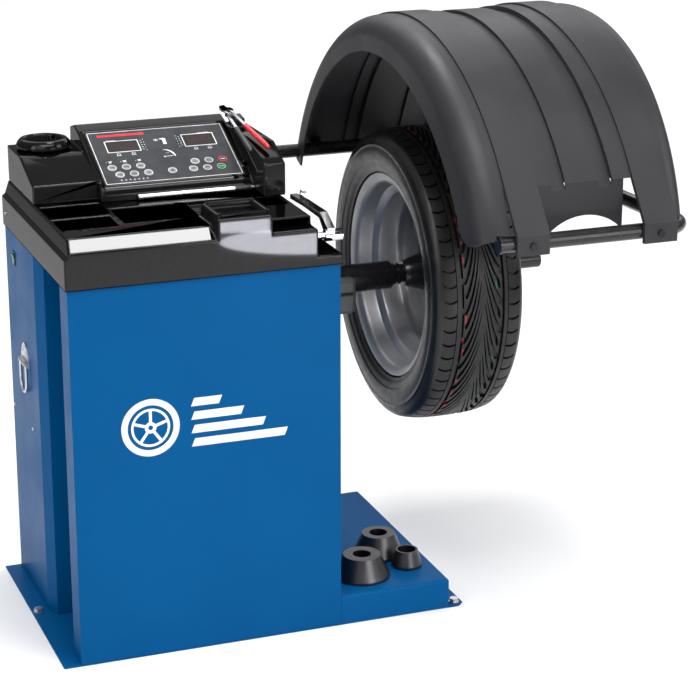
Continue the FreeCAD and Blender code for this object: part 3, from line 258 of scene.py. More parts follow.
def woven_black():
    """Gloss black moulding printed with a fine diagonal weave under its lacquer, on its upright faces."""
    f = Finish("woven_black", (0.012, 0.012, 0.013), 0.3, coat=0.45, specular=0.0)
    f.shader.inputs["Coat Roughness"].default_value = 0.03
    f.round_edges(5.0 * MM)
    pitch = 4.4 * MM
    split = f.node("SeparateXYZ")
    f.link(f.coord, split.inputs[0])
    x, y, z = split.outputs
    along = f.math("ADD", x, y)
    steep = f.math("SUBTRACT", z, f.math("MULTIPLY", y, 0.5))
    wave_a = f.math("SINE", f.math("MULTIPLY", f.math("ADD", along, steep), 2 * math.pi / pitch))
    wave_b = f.math("SINE", f.math("MULTIPLY", f.math("SUBTRACT", along, steep), 2 * math.pi / pitch))
    cross = f.math("MULTIPLY", wave_a, wave_b)
    facing = f.node("NewGeometry")
    turned = f.node("SeparateXYZ")
    f.link(facing.outputs["Normal"], turned.inputs[0])
    upright = f.math("LESS_THAN", f.math("ABSOLUTE", turned.outputs[2]), 0.3)
    dark, light = (0.001, 0.001, 0.001), (0.036, 0.036, 0.038)
    f.colour(f.ramp(f.math("MULTIPLY", cross, upright), 0.0, 0.5, dark, light))
    return f.material


def guard_plastic():
    f = Finish("guard_plastic", (0.019, 0.019, 0.021), 0.46, specular=0.28)
    f.mottled((0.017, 0.017, 0.0188), (0.0215, 0.0215, 0.0238), 7.0)
    f.rough(0.42, 0.52, 14.0)
    f.bump(f.noise(1400.0, 2.0), 0.00015, 0.35)
    return f.material


def black_gloss():
    f = Finish("black_gloss", (0.006, 0.006, 0.007), 0.25, coat=0.15, specular=0.35)
    f.rough(0.2, 0.32, 30.0)
    f.bump(f.noise(700.0, 2.0), 0.0001, 0.2)
    return f.material


def dark_plastic(name="dark_plastic", colour=(0.02, 0.02, 0.022), rough=(0.35, 0.5), specular=0.5):
    f = Finish(name, colour, rough[0], specular=specular)
    f.mottled(tuple(c * 0.85 for c in colour), tuple(c * 1.2 for c in colour), 30.0)
    f.rough(*rough)
    f.bump(f.noise(1200.0, 2.0), 0.00012, 0.3)
    return f.material


def metal(name, colour, rough, scale=40.0, scratch=0.0):
    f = Finish(name, colour, rough[0], metallic=1.0)
    f.mottled(tuple(c * 0.9 for c in colour), colour, scale)
    f.rough(*rough, scale=scale)
    if scratch:
        f.bump(f.noise(300.0, 3.0, (0.06, 1.0, 1.0)), scratch, 0.4)
    return f.material


def rim_silver():
    """Silver lacquer over cast metal, its colour mottled with a painted reflection: the soft broad patches of
    a studio.
    """
    f = Finish("rim_silver", (0.3, 0.3, 0.31), 0.42, metallic=0.55, coat=0.2)
    # Painted reflection: the broad light and dark patches in the silver colour stand in for a studio's
    # reflections.
    f.mottled((0.24, 0.24, 0.25), (0.42, 0.42, 0.43), 5.0, 0.4, 0.6)
    f.rough(0.34, 0.48, 12.0)
    f.bump(f.noise(500.0, 2.0), 0.0001, 0.3)
    return f.material


def tyre_rubber():
    f = Finish("tyre_rubber", (0.006, 0.006, 0.0063), 0.4, specular=0.42)
    f.mottled((0.003, 0.003, 0.0032), (0.008, 0.008, 0.0084), 22.0)
    f.rough(0.3, 0.44, 60.0)
    f.bump(f.noise(1600.0, 2.0), 0.0001, 0.4)
    return f.material


# ---------------------------------------------------------------- mesh kit
def mesh_object(name, bm, smooth=None):
    """Makes an object from bm. smooth is the angle in degrees above which edges stay sharp."""
    mesh = bpy.data.meshes.new(name)
    bm.normal_update()
    bm.to_mesh(mesh)
    bm.free()
    if smooth is not None:
        for polygon in mesh.polygons:
            polygon.use_smooth = True
        mesh.set_sharp_from_angle(angle=math.radians(smooth))
    made = bpy.data.objects.new(name, mesh)
    SCENE.collection.objects.link(made)
    return made


def piece(name, bm, body, material, smooth=35.0, replaces=()):
    made = mesh_object(name, bm, smooth)
    made.data.materials.append(material)
    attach(made, body)
    if replaces:
        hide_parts(*replaces)
    return made


SEAM = 1e-5                          # points closer than this, in metres, are one point
FLAT_ANGLE = 0.5                     # faces that meet at less than this, in degrees, become one face
EDGE_ANGLE = 15.0                    # edges sharper than this, in degrees, are bevelled


def dress(node, material, bevel):
    """Gives a CAD node a material and, where bevel in mm isn't 0, softer edges."""
    made = NODES[node]
    made.data.materials.clear()
    made.data.materials.append(material)
    if bevel:
        weld = made.modifiers.new("weld", "WELD")
        weld.merge_threshold = SEAM
        flat = made.modifiers.new("flat", "DECIMATE")
        flat.decimate_type = "DISSOLVE"
        flat.angle_limit = math.radians(FLAT_ANGLE)
        soft = made.modifiers.new("soft", "BEVEL")
        soft.width = bevel * MM
        soft.segments = 3
        soft.limit_method = "ANGLE"
        soft.angle_limit = math.radians(EDGE_ANGLE)
        soft.use_clamp_overlap = False
        even = made.modifiers.new("even", "WEIGHTED_NORMAL")
        even.mode = "FACE_AREA"
        even.weight = 100
        even.keep_sharp = False
        for polygon in made.data.polygons:
            polygon.use_smooth = True


# ---------------------------------------------------------------- tyre
TREAD_PITCHES = 62
GROOVE_DEPTH = 7.0
TREAD_HALF = 84.0                    # half of the tread's width
WHEEL_X = 853.4                      # the wheel's middle plane
TYRE_R = 316.0
SWOOP = 150.0                        # how far a V groove trails behind the tread's middle line
V_END = 0.55                         # where the V grooves end, as a share of the tread's half width
BLOCKS = 0.67                        # where the shoulder blocks begin
BLOCK_GROOVE = 4.4                   # width of the grooves between the shoulder blocks
LONG_V = (0.03, V_END)               # where the long and the short V grooves start and end
SHORT_V = (0.09, 0.47)
RING_GROOVE = (0.505, 0.572)
THIN_RING_GROOVE = (0.668, 0.688)


def wheel_point(x, r, angle):
    """A point at x and radius r mm, at an angle from straight down, towards the front."""
    return cab(x, SPINDLE_Y - r * math.sin(angle), SPINDLE_Z - r * math.cos(angle))


def tread_radius(s):
    """Radius of the tread at s, from -1 at the left edge to 1 at the right one."""
    return TYRE_R - 0.3 - 7.9 * abs(s) ** 3.2


def swoop(s):
    """How far the grooves trail at s, in mm along the tread."""
    t = min(abs(s) / V_END, 1.0)
    trail = SWOOP * (0.86 * (1 - (1 - t) ** 2) + 0.14 * t)
    past = max(abs(s) - BLOCKS, 0.0) / (1 - BLOCKS)
    return trail + 5.0 * math.sin(math.pi * min(past, 1.0))


def groove_width(s, long):
    """Width in mm of the groove that starts each pitch, and its depth's share."""
    a = abs(s)
    if a > BLOCKS:
        share = 1.0 if a < 0.97 else 0.4
        return BLOCK_GROOVE, share
    if a > V_END:
        return 0.0, 0.0
    low, high = LONG_V if long else SHORT_V
    if not low < a < high:
        return 0.0, 0.0
    stops = (low, low + 0.1, high - 0.05, high)
    width = float(np.interp(a, stops, (6.0, 13.0, 19.0, 19.0 if long else 8.0)))
    depth = min(1.0, (a - low) / 0.05, 1.0 if long else (high - a) / 0.05)
    return width, depth


def ring_groove(s):
    """Depth's share of the grooves that run round the tread, at s."""
    a = abs(s)
    if RING_GROOVE[0] < a < RING_GROOVE[1]:
        return 1.0
    if THIN_RING_GROOVE[0] < a < THIN_RING_GROOVE[1]:
        return 0.6
    return 0.0


def tread_rows():
    """Shares of the tread's half width at which its mesh has rows, close together at each groove's edge."""
    stops = [0.0, 0.015, 0.03, 0.05, 0.075, 0.1, 0.125, 0.14, 0.165, 0.19, 0.22, 0.25, 0.28, 0.31, 0.34, 0.37,
             0.4, 0.42, 0.44, 0.46, 0.48, 0.5049, 0.5075, 0.53, 0.5495, 0.5695, 0.572, 0.6, 0.63, 0.65,
             0.6679, 0.67, 0.686, 0.688, 0.71, 0.74, 0.77, 0.8, 0.83, 0.86, 0.9, 0.94, 0.965, 0.985, 1.0]
    return [-s for s in reversed(stops[1:])] + stops


def tread_mesh():
    """A grid whose columns run along the grooves, so that every groove has straight walls."""
    rows = tread_rows()
    pitch = 2 * math.pi / TREAD_PITCHES
    per_mm = 1.0 / TYRE_R
    bm = bmesh.new()
    grid = []
    for s in rows:
        line = []
        x = WHEEL_X + s * TREAD_HALF
        shift = 0.5 * pitch if s > 0 else 0.0
        blend = min(abs(s) / 0.05, 1.0)
        trail = swoop(s) * per_mm
        for k in range(TREAD_PITCHES):
            width, share = groove_width(s, k % 2 == 0)
            half = max(width, 0.02) / 2 * per_mm
            wall = 0.35 * per_mm
            offsets = [-half - wall, -half, 0.0, half, half + wall]
            rest = pitch - 2 * (half + wall)
            offsets += [half + wall + rest * n / 8 for n in range(1, 8)]
            for n, offset in enumerate(offsets):
                angle = k * pitch + shift * blend + offset - trail
                depth = max(share if n in (1, 2, 3) else 0.0, ring_groove(s)) * GROOVE_DEPTH
                r = tread_radius(s) - depth
                line.append(bm.verts.new(wheel_point(x, r, angle)))
        grid.append(line)
    for low, high in zip(grid, grid[1:]):
        for n in range(len(low)):
            m = (n + 1) % len(low)
            bm.faces.new((low[n], low[m], high[m], high[n]))
    return bm


def lathe(outline, segments):
    """Turns a closed outline of (x, radius) in mm about the spindle."""
    bm = bmesh.new()
    rings = []
    for x, r in outline:
        ring = []
        for n in range(segments):
            a = 2 * math.pi * n / segments
            ring.append(bm.verts.new(wheel_point(x, r, a)))
        rings.append(ring)
    for low, high in zip(rings, rings[1:] + rings[:1]):
        for n in range(segments):
            m = (n + 1) % segments
            bm.faces.new((low[n], high[n], high[m], low[m]))
    bmesh.ops.recalc_face_normals(bm, faces=bm.faces)
    return bm


def tyre_outline():
    """The tyre's sidewalls and inside, with the fine rings moulded in the rubber."""
    half = [(65, 203.2), (75, 203.2), (79.4, 206), (81.4, 221.4), (86, 222.4), (90.4, 223.0), (92, 226),
            (92.4, 229), (94.4, 231), (96.6, 238), (98.4, 244.5), (99.0, 246.2), (99.9, 246.9), (100.5, 249),
            (101.7, 258), (101.9, 266), (101.2, 274), (100.3, 279.4), (100.9, 280.6), (100.6, 282.4),
            (99.4, 283.4), (97.6, 290), (95.4, 296), (93.6, 299.4), (92.4, 300.6), (90.6, 303.6),
            (88.6, 305.2), (86.4, 306.9), (84.0, 307.9)]
    under = [(80, 301), (50, 303), (0, 304)]
    inner = [(65, 222), (84, 236), (90, 262), (80, 289), (60, 297), (0, 299)]
    outline = [(-x, r) for x, r in half + under] + under[-2::-1] + half[::-1]
    outline += inner + [(-x, r) for x, r in inner[-2::-1]]
    return [(WHEEL_X + x, r) for x, r in outline]


def tread_rubber():
    """Tread rubber with the broken red and green marking lines of a new tyre."""
    f = Finish("tread_rubber", (0.005, 0.005, 0.0053), 0.42, specular=0.34)
    split = f.node("SeparateXYZ")
    f.link(f.coord, split.inputs[0])
    x = split.outputs[0]
    base = f.ramp(f.noise(24.0, 4.0), 0.3, 0.7, (0.003, 0.003, 0.0032), (0.007, 0.007, 0.0073))
    centre = cab(WHEEL_X, 0, 0).x
    for at, colour in ((-0.46, (0.30, 0.01, 0.02)), (0.35, (0.0, 0.09, 0.07))):
        distance = f.math("ABSOLUTE", f.math("SUBTRACT", x, centre + at * TREAD_HALF * MM))
        near = f.math("LESS_THAN", distance, 0.0016)
        broken = f.math("GREATER_THAN", f.noise(34.0, 2.0), 0.56)
        base = f.mix(f.math("MULTIPLY", near, broken), base, colour)
    f.colour(base)
    f.rough(0.34, 0.46, 60.0)
    f.bump(f.noise(1500.0, 2.0), 0.0001, 0.35)
    return f.material


def barrel_outline():
    """The rim's barrel: rolled edges, bead seats, the drop in its middle and its even sheet."""
    outer = [(-87.6, 219.0), (-86.6, 220.2), (-85.0, 220.2), (-83.6, 219.0), (-82.0, 212.0), (-80.6, 206.5),
             (-76.5, 202.6), (-70, 202.2), (-48, 198.8), (-44, 197.4), (-37, 181.5), (-34, 179.2),
             (4, 179.2), (8, 181.0), (20, 197.0), (24, 198.8), (68, 201.8), (76, 202.4), (80, 206.0),
             (82.0, 212.0), (83.8, 219.0), (85.2, 220.2), (86.8, 220.2), (87.6, 219.0)]
    inner = [(87.2, 216.0), (85.4, 206.0), (82.5, 200.6), (77, 197.6), (30, 194.4), (25, 193.0), (10, 176.4),
             (4, 175.2), (-34, 175.2), (-39, 177.4), (-47, 192.4), (-52, 194.4), (-72, 197.0), (-78, 199.0),
             (-82.6, 204.0), (-85.2, 211.0), (-87.2, 216.5)]
    return [(WHEEL_X + x, r) for x, r in outer + inner]


def make_tyre():
    rubber = tyre_rubber()
    piece("tyre_tread", tread_mesh(), "spindle", tread_rubber(), 32, ["tyre"])
    piece("tyre_carcass", lathe(tyre_outline(), 180), "spindle", rubber, 40, ["tyre"])


def make_rim():
    barrel = lathe(barrel_outline(), 180)
    piece("rim_barrel", barrel, "spindle", rim_silver(), 40, ["wheel_barrel"])


# ---------------------------------------------------------------- control panel
PANEL_TILT = math.radians(24.4)


class Drawing:
    """Flat shapes a hair above a face, gathered in one mesh. ink is the material that they take."""

    def __init__(self, place, above=0.08):
        self.bm = bmesh.new()
        self.place = place
        self.above = above
        self.ink = 0

    def shape(self, points):
        face = self.bm.faces.new([self.bm.verts.new(self.place(u, v, self.above)) for u, v in points])
        face.material_index = self.ink

    def bar(self, u0, u1, v0, v1):
        self.shape(((u0, v0), (u1, v0), (u1, v1), (u0, v1)))

    def line(self, a, b, width=0.7):
        (u0, v0), (u1, v1) = a, b
        length = math.hypot(u1 - u0, v1 - v0)
        du, dv = -(v1 - v0) / length * width / 2, (u1 - u0) / length * width / 2
        self.shape(((u0 - du, v0 - dv), (u1 - du, v1 - dv), (u1 + du, v1 + dv), (u0 + du, v0 + dv)))

    def strokes(self, points, width=0.7):
        for a, b in zip(points, points[1:]):
            self.line(a, b, width)

    def frame(self, u0, u1, v0, v1, width):
        self.bar(u0, u1, v0, v0 + width)
        self.bar(u0, u1, v1 - width, v1)
        self.bar(u0, u0 + width, v0 + width, v1 - width)
        self.bar(u1 - width, u1, v0 + width, v1 - width)

    def ring(self, u, v, outer, inner, segments=40):
        angles = [math.radians(360.0 * n / segments) for n in range(segments + 1)]
        for a, b in zip(angles, angles[1:]):
            self.shape(((u + inner * math.cos(a), v + inner * math.sin(a)),
                        (u + outer * math.cos(a), v + outer * math.sin(a)),
                        (u + outer * math.cos(b), v + outer * math.sin(b)),
                        (u + inner * math.cos(b), v + inner * math.sin(b))))

    def dot(self, u, v, radius, segments=24):
        angles = [2 * math.pi * n / segments for n in range(segments)]
        self.shape([(u + radius * math.cos(a), v + radius * math.sin(a)) for a in angles])

    def done(self, name, body, inks):
        made = mesh_object(name, self.bm)
        for ink in inks:
            made.data.materials.append(ink)
        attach(made, body)


def on_panel(u, v, above=0.0):
    """A point u mm along and v mm up the control panel, above its face."""
    s, c = math.sin(PANEL_TILT), math.cos(PANEL_TILT)
    return cab(161 + u, 305 + v * c - above * s, 915 + v * s + above * c)


DISPLAYS = ((36, 102, 111, 144), (204, 268, 112, 148))


def draw_panel(white, red, glass, digit):
    """The panel's printed lines, its red strip, and the displays' dark windows with their unlit digits."""
    art = Drawing(on_panel)
    art.frame(3.5, 296.5, 3.5, 179.5, 1.2)
    for (u0, u1, v0, v1), side in zip(DISPLAYS, (1, -1)):
        art.frame(u0 - 3.2, u1 + 3.2, v0 - 3.2, v1 + 3.2, 1.6)
        hub = (u1 + 4) if side > 0 else (u0 - 4)
        for n, rise in enumerate((-12, -6, 0, 6, 12)):
            v = (v0 + v1) / 2 + rise
            art.line((hub + side * 3, v + rise * 0.1), (hub + side * 7, v + rise * 0.35), 0.8)
            art.dot(hub + side * 11, v + rise * 0.55, 0.9, 10)
        art.bar(u0 + (2 if side > 0 else 34), u0 + (22 if side > 0 else 58), v1 + 4.6, v1 + 5.6)
        for centre in (u0 + 18, u1 - 16):
            art.frame(centre - 3.5, centre + 3.5, v0 - 13, v0 - 7.5, 0.7)
            art.bar(centre - 5, centre + 5, v0 - 15.2, v0 - 14.3)
    draw_wheel_sections(art)
    for u in (29, 60, 91.5):
        art.shape(((u - 4.5, 72.5), (u - 1.6, 76), (u - 4.5, 80), (u, 78.2), (u + 4.5, 80), (u + 1.6, 76),
                   (u + 4.5, 72.5), (u, 74.4)))
        art.bar(u - 9, u - 7, 75.4, 76.6)
    for n in range(7):
        u = 38 + 9.2 * n
        art.dot(u, 15.4, 1.0, 10)
        art.bar(u - 2.4, u + 2.4, 12.4, 13.1)
    art.done("panel_lines", "cabinet", [white])
    strip = Drawing(on_panel)
    strip.bar(23, 124, 162.6, 170.4)
    strip.done("panel_red_strip", "cabinet", [red])
    window = Drawing(on_panel, -0.3)
    for u0, u1, v0, v1 in DISPLAYS:
        window.ink = 0
        window.bar(u0 + 0.4, u1 - 0.4, v0 + 0.4, v1 - 0.4)
        window.ink = 1
        window.above = -0.2
        width = (u1 - u0 - 12) / 3
        for n in range(3):
            a, b = u0 + 6 + width * n + 3, u0 + 6 + width * (n + 1) - 3
            low, high = v0 + 7, v1 - 7
            middle = (low + high) / 2
            for v in (low, middle, high):
                window.line((a + 1.2, v), (b - 1.2, v), 1.3)
            for u in (a, b):
                window.line((u, low + 1), (u, middle - 1), 1.3)
                window.line((u, middle + 1), (u, high - 1), 1.3)
        window.above = -0.3
    window.done("display_windows", "cabinet", [glass, digit])


def draw_wheel_sections(art):
    """The two cut wheels drawn in the middle of the panel, with their measuring arrows."""
    art.shape(((157, 124), (164, 124), (165, 143), (160, 145), (152, 143.5), (152, 141.5), (158, 140)))
    art.line((141, 141.5), (148, 142.5), 0.9)
    art.line((139, 138), (150, 140), 0.7)
    for u in (138.5, 143.5):
        art.line((u, 139), (u + 1.5, 143.5), 0.7)
    art.strokes(((141.5, 136.4), (147, 137.6), (146.4, 134.6)), 0.7)
    path = [(150, 104.5), (155, 104), (160, 101.5), (164.5, 97), (168, 91), (170, 85), (171, 81)]
    thick = [0.8, 1.6, 2.6, 3.6, 3.8, 3.4, 3.0]
    for (a, wa), (b, wb) in zip(zip(path, thick), list(zip(path, thick))[1:]):
        art.shape(((a[0], a[1] - wa / 2), (b[0], b[1] - wb / 2), (b[0] + wb / 2, b[1] + wb / 2),
                   (a[0] + wa / 2, a[1] + wa / 2)))
    art.line((146, 81), (167, 82.5), 0.9)
    art.strokes(((149.5, 83.6), (146, 81), (150, 79)), 0.9)
    art.line((153, 92), (160, 93), 0.6)


def draw_key(name, ring, face, ink):
    """A round key's ring, face and symbol. The symbol goes by the key's kind."""
    low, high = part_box(name)
    centre = (low + high) / 2
    s, c = math.sin(PANEL_TILT), math.cos(PANEL_TILT)
    up = Vector((0, c, s))
    out = Vector((0, -s, c))
    top = 2.8                              # from the key's middle to its face, mm

    def place(u, v, above):
        return centre + Vector((u * MM, 0, 0)) + up * (v * MM) + out * ((top + above) * MM)

    art = Drawing(place)
    art.ring(0, 0, 9.1, 7.4)
    art.ink = 1
    art.dot(0, 0, 7.4, 36)
    art.ink = 2
    art.above = 0.14
    kind = name.split("_")[1]
    if kind in ("mode", "step"):
        art.bar(-5, -1.6, -1.1, 1.1)
        art.ring(2.4, 0, 2.6, 1.3, segments=20)
        art.line((-1.6, 0), (0.4, 0), 1.0)
        if kind == "step":
            art.bar(-4.6, 4.6, -4.4, -3.6)
    elif kind == "centre":
        art.shape(((-3.6, -2.2), (0, 4.4), (3.6, -2.2), (1.2, -2.2), (1.2, -4.4), (-1.2, -4.4), (-1.2, -2.2)))
    elif kind == "side":
        art.ring(-0.6, 0.4, 3.6, 2.5, segments=24)
        art.line((1.8, -2.0), (4.6, -4.4), 1.1)
    elif kind == "test":
        art.bar(-5, 5, -0.9, 0.9)
        art.line((-3.4, 2.6), (3.4, 2.6), 0.9)
    else:
        art.bar(-4.6, 4.6, -1.3, 1.3)
    art.done("mark_" + name, name, [ring, face, ink])


def draw_emblem(white):
    """A plain pictogram of a wheel and its rising bars, on the cabinet's front."""
    art = Drawing(lambda u, v, above: cab(u, -above, v), 0.12)
    x, z = 158, 494
    art.ring(x, z, 60, 47, segments=72)
    art.ring(x, z, 40, 35, segments=60)
    art.ring(x, z, 12, 5, segments=32)
    for n in range(5):
        a = math.radians(90 + 72 * n)
        c, s = math.cos(a), math.sin(a)
        art.line((x + 12 * c, z + 12 * s), (x + 35.5 * c, z + 35.5 * s), 6)
    tall = 17
    for n, length in enumerate((196, 150, 104, 58)):
        low = z - 51 + 28.4 * n
        art.shape(((242, low), (242 + length, low), (242 + length + 7, low + tall), (249, low + tall)))
    art.done("front_emblem", "cabinet", [white])


# ---------------------------------------------------------------- pliers
PLIERS_HEAD = cab(474.5, 487, 1020)
PLIERS_END = cab(477.6, 251.3, 975.2)
PLIERS_EYE = (38, 10.5)              # the pivot's place along the pliers, and the eye's radius
# Along a grip from 0 to 1: half its width and half its height.
GRIP_SECTIONS = ((0.0, 4.6, 3.6), (0.01, 5.6, 4.4), (0.05, 6.0, 5.0), (0.15, 5.4, 4.8), (0.4, 5.6, 5.2),
                 (0.65, 6.0, 5.6), (0.85, 5.9, 5.4), (0.96, 5.2, 4.8), (0.99, 3.6, 3.2), (1.0, 1.2, 1.0))


def pliers_place():
    """Gives a function that turns mm along, across and above the pliers into a point."""
    along = (PLIERS_END - PLIERS_HEAD).normalized()
    up = (Vector((0, 0, 1)) - along * along.z).normalized()
    side = up.cross(along)

    def at(a, b, c):
        return PLIERS_HEAD + along * (a * MM) + side * (b * MM) + up * (c * MM)

    return at


def prism(place, outline, low, high):
    """Extrudes an outline of (a, b) between two heights."""
    bm = bmesh.new()
    bottom = [bm.verts.new(place(a, b, low)) for a, b in outline]
    top = [bm.verts.new(place(a, b, high)) for a, b in outline]
    bm.faces.new(bottom)
    bm.faces.new(list(reversed(top)))
    for n in range(len(outline)):
        m = (n + 1) % len(outline)
        bm.faces.new((bottom[m], bottom[n], top[n], top[m]))
    bmesh.ops.recalc_face_normals(bm, faces=bm.faces)
    return bm


def soften(bm, width, segments=3, angle=30.0):
    """Rounds every edge of bm that is sharper than the angle."""
    sharp = [e for e in bm.edges if len(e.link_faces) == 2 and e.calc_face_angle() > math.radians(angle)]
    bmesh.ops.bevel(bm, geom=sharp, offset=width * MM, segments=segments, profile=0.5,
                    affect="EDGES", clamp_overlap=True)
    return bm


def loft(sections):
    """A closed skin through sections, each a list of as many points."""
    bm = bmesh.new()
    rings = [[bm.verts.new(p) for p in section] for section in sections]
    count = len(rings[0])
    for low, high in zip(rings, rings[1:]):
        for n in range(count):
            m = (n + 1) % count
            bm.faces.new((low[n], low[m], high[m], high[n]))
    bm.faces.new(list(reversed(rings[0])))
    bm.faces.new(rings[-1])
    bmesh.ops.recalc_face_normals(bm, faces=bm.faces)
    return bm


# One half's steel, in mm along and across the pliers, from its jaw to the end of its shank.
PLIERS_STEEL = ((0, -2), (2, -7), (4, -12), (9, -14.6), (16, -15), (24, -13), (30, -9), (36, 0), (40, 6),
                (46, 8.2), (54, 9.2), (100, 12.4), (134, 15), (134, 7), (100, 5.4), (56, 2.4), (49, -1.5),
                (44, -6), (40, -9), (33, -5), (26, 1), (19, 1.4), (12, -1), (6, -0.4))


def make_pliers():
    """Each half's steel, its share of the pivot's eye, and its grip, mirrored by sign."""
    at = pliers_place()
    steel = metal("tool_steel", (0.5, 0.5, 0.52), (0.16, 0.28))
    red = dark_plastic("grip_red", (0.55, 0.014, 0.02), (0.22, 0.32))
    black = dark_plastic("grip_black", (0.012, 0.012, 0.013), (0.3, 0.42))
    for name, sign, layer, rubber in (("left", 1, (0.1, 5.0), red), ("right", -1, (-5.0, -0.1), black)):
        body = "pliers_" + name
        outline = [(a, sign * b) for a, b in PLIERS_STEEL]
        steel_half = soften(prism(at, outline, *layer), 0.7, 2)
        piece("pliers_%s_steel" % name, steel_half, body, steel, 35, ["pliers_%s_half" % name])
        place, radius = PLIERS_EYE
        turns = [2 * math.pi * n / 32 for n in range(32)]
        boss = [(place + radius * math.cos(a), radius * math.sin(a)) for a in turns]
        eye = soften(prism(at, boss, *layer), 0.6, 2)
        piece("pliers_%s_eye" % name, eye, body, steel, 35)
        middle = sum(layer) / 2
        sections = []
        for t, wide, tall in GRIP_SECTIONS:
            a, b = 112 + 124 * t, sign * (10 + 9 * t)
            ring = []
            for n in range(20):
                angle = 2 * math.pi * n / 20
                ring.append(at(a, b + wide * math.cos(angle), middle + tall * math.sin(angle)))
            sections.append(ring)
        piece("pliers_%s_grip" % name, loft(sections), body, rubber, 40)


# ---------------------------------------------------------------- guard corner and measuring bar
GUARD_CORNER_R = 55.0
GUARD_CORNER = (-364.2, 964.3)       # y and z of the rounding's middle


def corner_cutter():
    """The part of the guard's lower front corner that its rounding takes away, as a prism along x."""
    centre_y, centre_z = GUARD_CORNER
    arc = [math.radians(200 + 8 * n) for n in range(20)]
    curve = [(centre_y + GUARD_CORNER_R * math.cos(a), centre_z + GUARD_CORNER_R * math.sin(a)) for a in arc]
    outside = [(curve[-1][0] + 90, curve[-1][1]), (curve[-1][0] + 90, 820), (curve[0][0] - 12, 820)]
    return prism(lambda a, b, c: cab(c, a, b), curve + outside, 655, 1300)


def copy_node(node):
    """The CAD node's mesh in the row frame, with its seams welded."""
    bm = bmesh.new()
    bm.from_mesh(NODES[node].data)
    bm.transform(NODES[node].matrix_world)
    bmesh.ops.remove_doubles(bm, verts=bm.verts, dist=SEAM)
    return bm


def make_guard(material):
    """The guard's side walls, with their lower front corners rounded."""
    walls = copy_node("guard_side_walls")
    made = piece("guard_walls_rounded", walls, "guard", material, 28, ["guard_side_walls"])
    cutter = mesh_object("cutter", corner_cutter())
    cut = made.modifiers.new("corner", "BOOLEAN")
    cut.operation = "DIFFERENCE"
    cut.solver = "EXACT"
    cut.object = cutter
    bpy.context.view_layer.update()
    shape = bpy.data.meshes.new_from_object(made.evaluated_get(bpy.context.evaluated_depsgraph_get()))
    made.modifiers.clear()
    made.data = shape
    bpy.data.objects.remove(cutter)


BAR_AXIS = (281, 891.2)              # y and z of the measuring bar's axis
SLEEVE_ENDS = (428.4, 465.6)
SLEEVE_R = 6.15
KNURL = 0.3                          # how far the knurls stand out


def make_bar_sleeve():
    """The measuring bar's black knurled sleeve."""
    y, z = BAR_AXIS
    start, end = SLEEVE_ENDS
    bm = bmesh.new()
    rings = []
    steps, teeth = 24, 36
    for n in range(steps + 1):
        x = start + (end - start) * n / steps
        edge = 0.5 if n in (0, steps) else 0.0
        ring = []
        for k in range(teeth * 2):
            a = math.pi * k / teeth
            r = SLEEVE_R + (KNURL if (k + n) % 2 else 0.0) - edge
            ring.append(bm.verts.new(cab(x, y + r * math.cos(a), z + r * math.sin(a))))
        rings.append(ring)
    for low, high in zip(rings, rings[1:]):
        for k in range(len(low)):
            m = (k + 1) % len(low)
            bm.faces.new((low[k], low[m], high[m], high[k]))
    bmesh.ops.recalc_face_normals(bm, faces=bm.faces)
    black = dark_plastic("sleeve_black", (0.012, 0.012, 0.013), (0.3, 0.42))
    piece("bar_sleeve", bm, "measuring_bar", black, 20)


# ---------------------------------------------------------------- CAD nodes that keep their shape
# Nodes that a detailed piece replaces.
REPLACED = ("tyre", "wheel_barrel", "pliers_left_half", "pliers_right_half", "guard_side_walls")


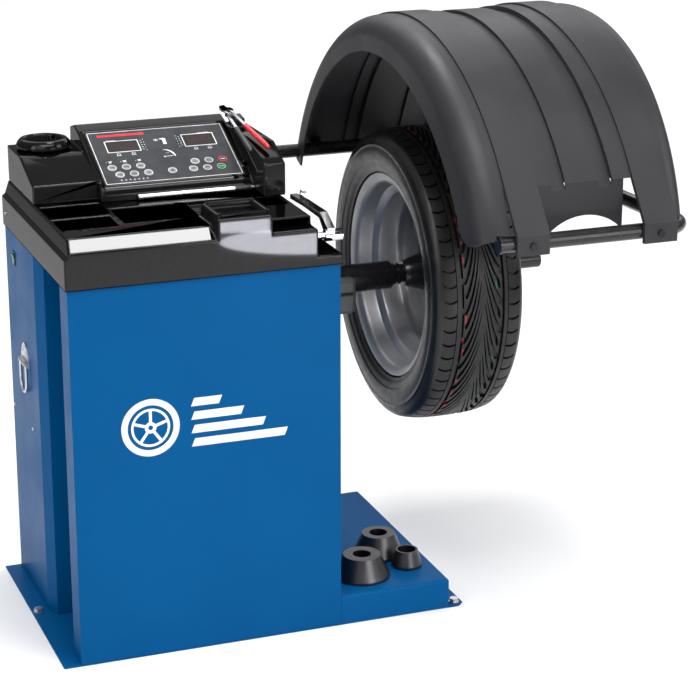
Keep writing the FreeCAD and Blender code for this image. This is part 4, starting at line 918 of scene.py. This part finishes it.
def dress_cad():
    blue = blue_paint()
    woven = woven_black()
    guard = guard_plastic()
    gloss = black_gloss()
    dark = dark_plastic()
    zinc = metal("zinc", (0.62, 0.62, 0.64), (0.28, 0.42))
    steel = metal("machined_steel", (0.55, 0.55, 0.57), (0.22, 0.36), scratch=0.00005)
    chrome = metal("chrome", (0.82, 0.82, 0.84), (0.05, 0.12))
    silver = rim_silver()
    rubber = tyre_rubber()
    cone = metal("cone_black", (0.09, 0.09, 0.095), (0.3, 0.42))
    grey = dark_plastic("bracket_grey", (0.05, 0.05, 0.055))
    red = dark_plastic("red_grip", (0.6, 0.02, 0.02), (0.2, 0.3))
    board = dark_plastic("circuit_board", (0.02, 0.14, 0.06))
    panel = dark_plastic("panel_film", (0.036, 0.037, 0.041), (0.5, 0.6), 0.08)
    white = dark_plastic("key_white", (0.6, 0.6, 0.58), (0.3, 0.4))
    green = dark_plastic("switch_green", (0.0, 0.2, 0.08), (0.15, 0.25))
    finishes = {
        "blue_paint": blue, "black_moulding": woven, "guard_plastic": guard, "black_steel": gloss,
        "grey_casting": grey, "steel": steel, "zinc": zinc, "chrome": chrome, "rim_silver": silver,
        "tyre_rubber": rubber, "belt_rubber": rubber, "panel_grey": panel, "key_white": white,
        "key_red": red, "key_green": green, "circuit_board": board, "red_grip": red,
        "black_grip": dark, "switch_green": green, "black_plastic": dark, "cone_black": cone,
        "motor_paint": grey, "sensor": steel,
    }
    # Radius in mm to which the edges of moulded and folded parts are rounded.
    bevels = {"weight_tray": 3.4, "console_housing": 3.4, "cabinet_body": 0.8, "base_frame": 1.6,
              "housing_bracket": 4.0, "rear_cover": 0.6, "hub_flange": 1.0, "control_panel": 0.3}
    for row in frame["record"]["subparts"]:
        node = row["node"]
        if node not in REPLACED:
            dress(node, finishes[row["material_slot"]], bevels.get(node, 0.0))


def make_drawings():
    white = dark_plastic("print_white", (0.78, 0.78, 0.8), (0.5, 0.6), 0.2)
    red = dark_plastic("print_red", (0.5, 0.018, 0.03), (0.5, 0.6), 0.2)
    green = dark_plastic("print_green", (0.12, 0.42, 0.22), (0.5, 0.6), 0.2)
    face = dark_plastic("key_face", (0.2, 0.2, 0.205), (0.5, 0.6), 0.2)
    ink = dark_plastic("key_ink", (0.02, 0.02, 0.022), (0.5, 0.6), 0.2)
    ring = dark_plastic("key_ring", (0.42, 0.42, 0.43), (0.5, 0.6), 0.2)
    glass = dark_plastic("display_glass", (0.01, 0.006, 0.006), (0.3, 0.4), 0.15)
    digit = dark_plastic("display_digit", (0.05, 0.014, 0.014), (0.3, 0.4), 0.15)
    draw_panel(white, red, glass, digit)
    for name in NODES:
        if name.startswith("key_"):
            kind = name.split("_")[1]
            if kind == "stop":
                draw_key(name, red, ink, ring)
            elif kind == "start":
                draw_key(name, green, ink, green)
            else:
                draw_key(name, ring, face, ink)
    draw_emblem(white)


make_camera()
make_light()
make_floor()
dress_cad()
make_tyre()
make_rim()
make_pliers()
make_guard(guard_plastic())
make_bar_sleeve()
make_drawings()

SCENE.view_settings.view_transform = "Standard"
